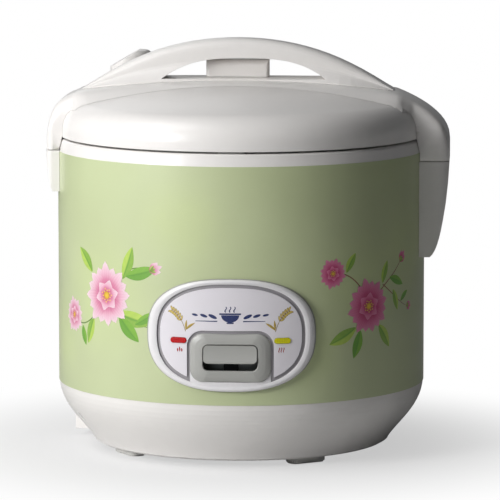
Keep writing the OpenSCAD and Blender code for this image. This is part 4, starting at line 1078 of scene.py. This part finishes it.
# %% Leaves of a spray
def leaves(sheet, places, bend):
    """Leaves at (root, angle, length, width, layer). Those on the lower layer are lighter."""
    for root, angle, length, width, layer in places:
        light = LEAF_LIGHT if layer == 1 else LEAF_MID
        leaf(sheet, root, angle, length, width, LEAF_DARK, light, layer, bend)

# %% Left spray
LEFT_LEAVES = [
    ((-81, 132), 62, 24, 9, 1),
    ((-78, 134), 8, 26, 9, 2),
    ((-86, 108), -18, 30, 11, 1),
    ((-70, 101), 24, 18, 6, 2),
    ((-84, 106), -52, 24, 10, 2),
    ((-110, 102), -118, 20, 8, 1),
    ((-112, 134), 128, 22, 9, 1),
    ((-124, 95), -80, 14, 6, 2),
]


def left_spray(sheet):
    """The pale spray, with its places in mm round the shell from the front, and up."""
    big, small, tip = (-96, 119), (-137, 101), (-58, 139)
    line(sheet, [big, (-84, 138), (-70, 143), tip], 1.1, STEM_DARK, 0, taper=0.4)
    line(sheet, [big, (-112, 96), (-126, 92), small], 1.1, STEM_DARK, 0, taper=0.4)
    line(sheet, [big, (-80, 104), (-68, 98), (-52, 100)], 1.0, STEM_DARK, 0, taper=0.7)
    leaves(sheet, LEFT_LEAVES, bend=0.12)
    bud(sheet, tip, 20, 10, PALE, 3)
    bloom(sheet, small, 12.5, 14, PALE, 3)
    bloom(sheet, big, 22, 4, PALE, 11)

# %% Right spray
RIGHT_LEAVES = [
    ((118, 127), 78, 16, 6, 1),
    ((126, 130), -14, 18, 6, 2),
    ((130, 121), -62, 16, 6, 1),
    ((92, 98), -148, 24, 9, 1),
    ((96, 96), -100, 20, 8, 2),
    ((84, 137), 66, 15, 6, 1),
    ((114, 98), -48, 20, 8, 1),
    ((140, 112), 40, 12, 4, 2),
]


def right_spray(sheet):
    """The deep spray, on a branching stem."""
    big, small, tip, fork, end = (104, 112), (73, 137), (139, 140), (118, 126), (148, 108)
    line(sheet, [big, (98, 128), (86, 138), small], 1.0, STEM_RED, 0, taper=0.3)
    line(sheet, [big, fork, (130, 130), tip], 1.1, STEM_RED, 0, taper=0.5)
    line(sheet, [fork, (130, 118), (140, 110), end], 0.9, STEM_RED, 0, taper=0.7)
    leaves(sheet, RIGHT_LEAVES, bend=-0.12)
    bud(sheet, tip, 48, 9, DEEP, 3)
    bud(sheet, (149, 108), -10, 7, DEEP, 3)
    bloom(sheet, small, 10.5, 30, DEEP, 3)
    bloom(sheet, big, 19, 12, DEEP, 11)

# %% Both sprays, on the front and on the back
for name, turn in (("front_flowers", 0), ("back_flowers", 180)):
    garland = Print(name, SHELL_R, turn)
    left_spray(garland)
    right_spray(garland)
    garland.done(shell_ink, "cooker_body")

# %% [markdown]
# ## The marks on the panel
#
# The panel's plate is a printed film. It shows a steaming bowl between two rows of grain, an ear of rice
# at each side, and a small sign below each lamp: a flame for cooking, and rising heat for keeping warm.
# Signs are used and no words, so the part suits any market. They are drawn with the same strokes as the
# flowers, at the radius of the plate.

# %% The panel's ink
PLATE_R = -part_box("panel_plate")[0].y
PANEL_MIDDLE = PANEL_Z / MM
EMBLEM_Z = PANEL_MIDDLE + 15.5
SIGN_X, SIGN_Z = 35.2, PANEL_MIDDLE - 11.6
NAVY, CRIMSON = rgb(30, 44, 104), rgb(168, 30, 38)
GRAIN, GOLD, BRONZE = rgb(236, 214, 120), rgb(206, 178, 74), rgb(150, 122, 62)
marks = Print("panel_marks", PLATE_R)
print("plate radius", round(PLATE_R / MM, 2), "mm, emblem at", round(EMBLEM_Z, 2), "mm")

# %% Steaming bowl
BOWL_WIDE, BOWL_DEEP, BOWL_RIM = 6.2, 5.0, 1.2
half_turn = [math.pi * i / 16 for i in range(17)]
bowl = [[(BOWL_WIDE * r * math.cos(a), EMBLEM_Z - BOWL_RIM - BOWL_DEEP * r * math.sin(a))
         for a in half_turn]
        for r in (0.02, 0.5, 1)]
marks.grid(bowl, [[NAVY] * len(half_turn)] * 3, 1)
line(marks, [(-2.4, EMBLEM_Z - 6.6), (2.4, EMBLEM_Z - 6.6)], 1.0, NAVY, 1)
line(marks, [(-7.4, EMBLEM_Z - 0.4), (7.4, EMBLEM_Z - 0.4)], 1.1, NAVY, 1)
for x in (-3, 0, 3):
    wisp = [(x, EMBLEM_Z + 0.9), (x - 1.8, EMBLEM_Z + 2.2), (x + 1.8, EMBLEM_Z + 3.2), (x, EMBLEM_Z + 4.6)]
    line(marks, wisp, 0.8, NAVY, 1, taper=0.3)
print("bowl", 2 * BOWL_WIDE, "mm wide")

# %% Grains beside the bowl, and the ears of rice
GRAIN_LENGTHS = (6.4, 5.4, 4.4)
EAR_X = 36.5
EAR_PAIRS = 6


def grains_and_rule(side):
    """Three grains over a fine rule."""
    for i, grain in enumerate(GRAIN_LENGTHS):
        place = (side * (12 + 6.2 * i), EMBLEM_Z - 2.2 + 0.5 * i)
        ellipse(marks, place, grain, grain * 0.36, side * (24 - 6 * i), NAVY, NAVY, 1)
    line(marks, [(side * 8.8, EMBLEM_Z - 5.4), (side * 24, EMBLEM_Z - 5.4)], 0.8, NAVY, 1, taper=0.5)


def ear_of_rice(side):
    """A bent stalk with six pairs of grains and two leaves."""
    middle = side * EAR_X
    foot = (middle - side * 5.5, PANEL_MIDDLE + 2.6)
    stalk = [foot, (middle - side * 3.5, PANEL_MIDDLE + 10), (middle, PANEL_MIDDLE + 15),
             (middle + side * 4.5, PANEL_MIDDLE + 17)]
    line(marks, stalk, 0.45, BRONZE, 1, taper=0.5)
    for i in range(EAR_PAIRS):
        here, ahead = bezier(stalk, 0.38 + 0.11 * i), bezier(stalk, 0.42 + 0.11 * i)
        run = math.degrees(math.atan2(ahead[1] - here[1], ahead[0] - here[0]))
        for lean in (-38, 38):
            centre = placed(here, heading(run + lean), 2.0, 0)
            ellipse(marks, centre, 3.4, 1.35, run + lean, BRONZE, BRONZE, 2)
            ellipse(marks, centre, 2.7, 0.85, run + lean, GRAIN, GOLD, 3)
    leaf(marks, (foot[0], foot[1] + 1), 90 + side * 42, 8.5, 1.7, BRONZE, GOLD, 2, bend=side * 0.2)
    leaf(marks, (foot[0] - side * 0.4, foot[1] + 1), 90 - side * 5, 7.0, 1.5, BRONZE, GOLD, 2,
         bend=side * 0.15)


for side in (-1, 1):
    grains_and_rule(side)
    ear_of_rice(side)
print("grains in an ear:", 2 * EAR_PAIRS)

# %% Signs under the lamps
for x, tall in ((-1.5, 2.6), (0, 3.6), (1.5, 2.6)):
    leaf(marks, (x - SIGN_X, SIGN_Z), 90, tall, 1.1, CRIMSON, CRIMSON, 2, bend=0.06)
for x in (-1.6, 0, 1.6):
    left, right_of, middle = SIGN_X + x - 1, SIGN_X + x + 1, SIGN_X + x
    heat = [(middle, SIGN_Z), (left, SIGN_Z + 1.1), (right_of, SIGN_Z + 2.1), (middle, SIGN_Z + 3.2)]
    line(marks, heat, 0.55, CRIMSON, 2)
marks.done(panel_ink, "cooker_body")

# %% [markdown]
# ## Water marks in the pot
#
# The pot's wall has a scale of long and short strokes, which shows how far to fill it. It has no figures
# here. It is printed on the inside, so its radius is the smallest that the pot's wall has, and its faces
# look inwards. It sits at the back to the right, where it shows when the lid is open.

# %% Water marks
MARKS_TURN = 152
MARKS = 9
MARK_PITCH = 10.5
SHORT_MARK, LONG_MARK = 6, 10
PALE_GREY = rgb(176, 178, 182)
pot_low, pot_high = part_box("inner_pot")
pot_middle = (pot_low.z + pot_high.z) / 2
wall = [vert.co for vert in NODES["inner_pot"].data.vertices if vert.co.z > pot_middle]
POT_R = min(math.hypot(co.x, co.y) for co in wall)
first = pot_low.z / MM + 28
levels = Print("pot_marks", POT_R - 0.1 * MM, MARKS_TURN)
for i in range(MARKS):
    mark = SHORT_MARK if i % 2 else LONG_MARK
    height = first + MARK_PITCH * i
    line(levels, [(-mark, height), (0, height)], 0.9, PALE_GREY, 0, steps=4)
line(levels, [(0.6, first - 4), (0.6, first + 88)], 0.7, PALE_GREY, 0, steps=8)
levels.done(panel_ink, "cooker_body", inwards=True)
print("pot radius", round(POT_R / MM, 2), "mm, first mark at", round(first, 1), "mm")

# %% [markdown]
# ## Size, and the end
#
# The box of everything that shows is put beside the box of the solids, in a table that stays in the
# script. The two should agree, because nothing that is added here is meant to reach past the cooker's real
# size.

# %% Size and finish
size = {"cad_low": list(cad_low), "cad_high": list(cad_high),
        "low": list(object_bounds()[0]), "high": list(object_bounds()[1])}
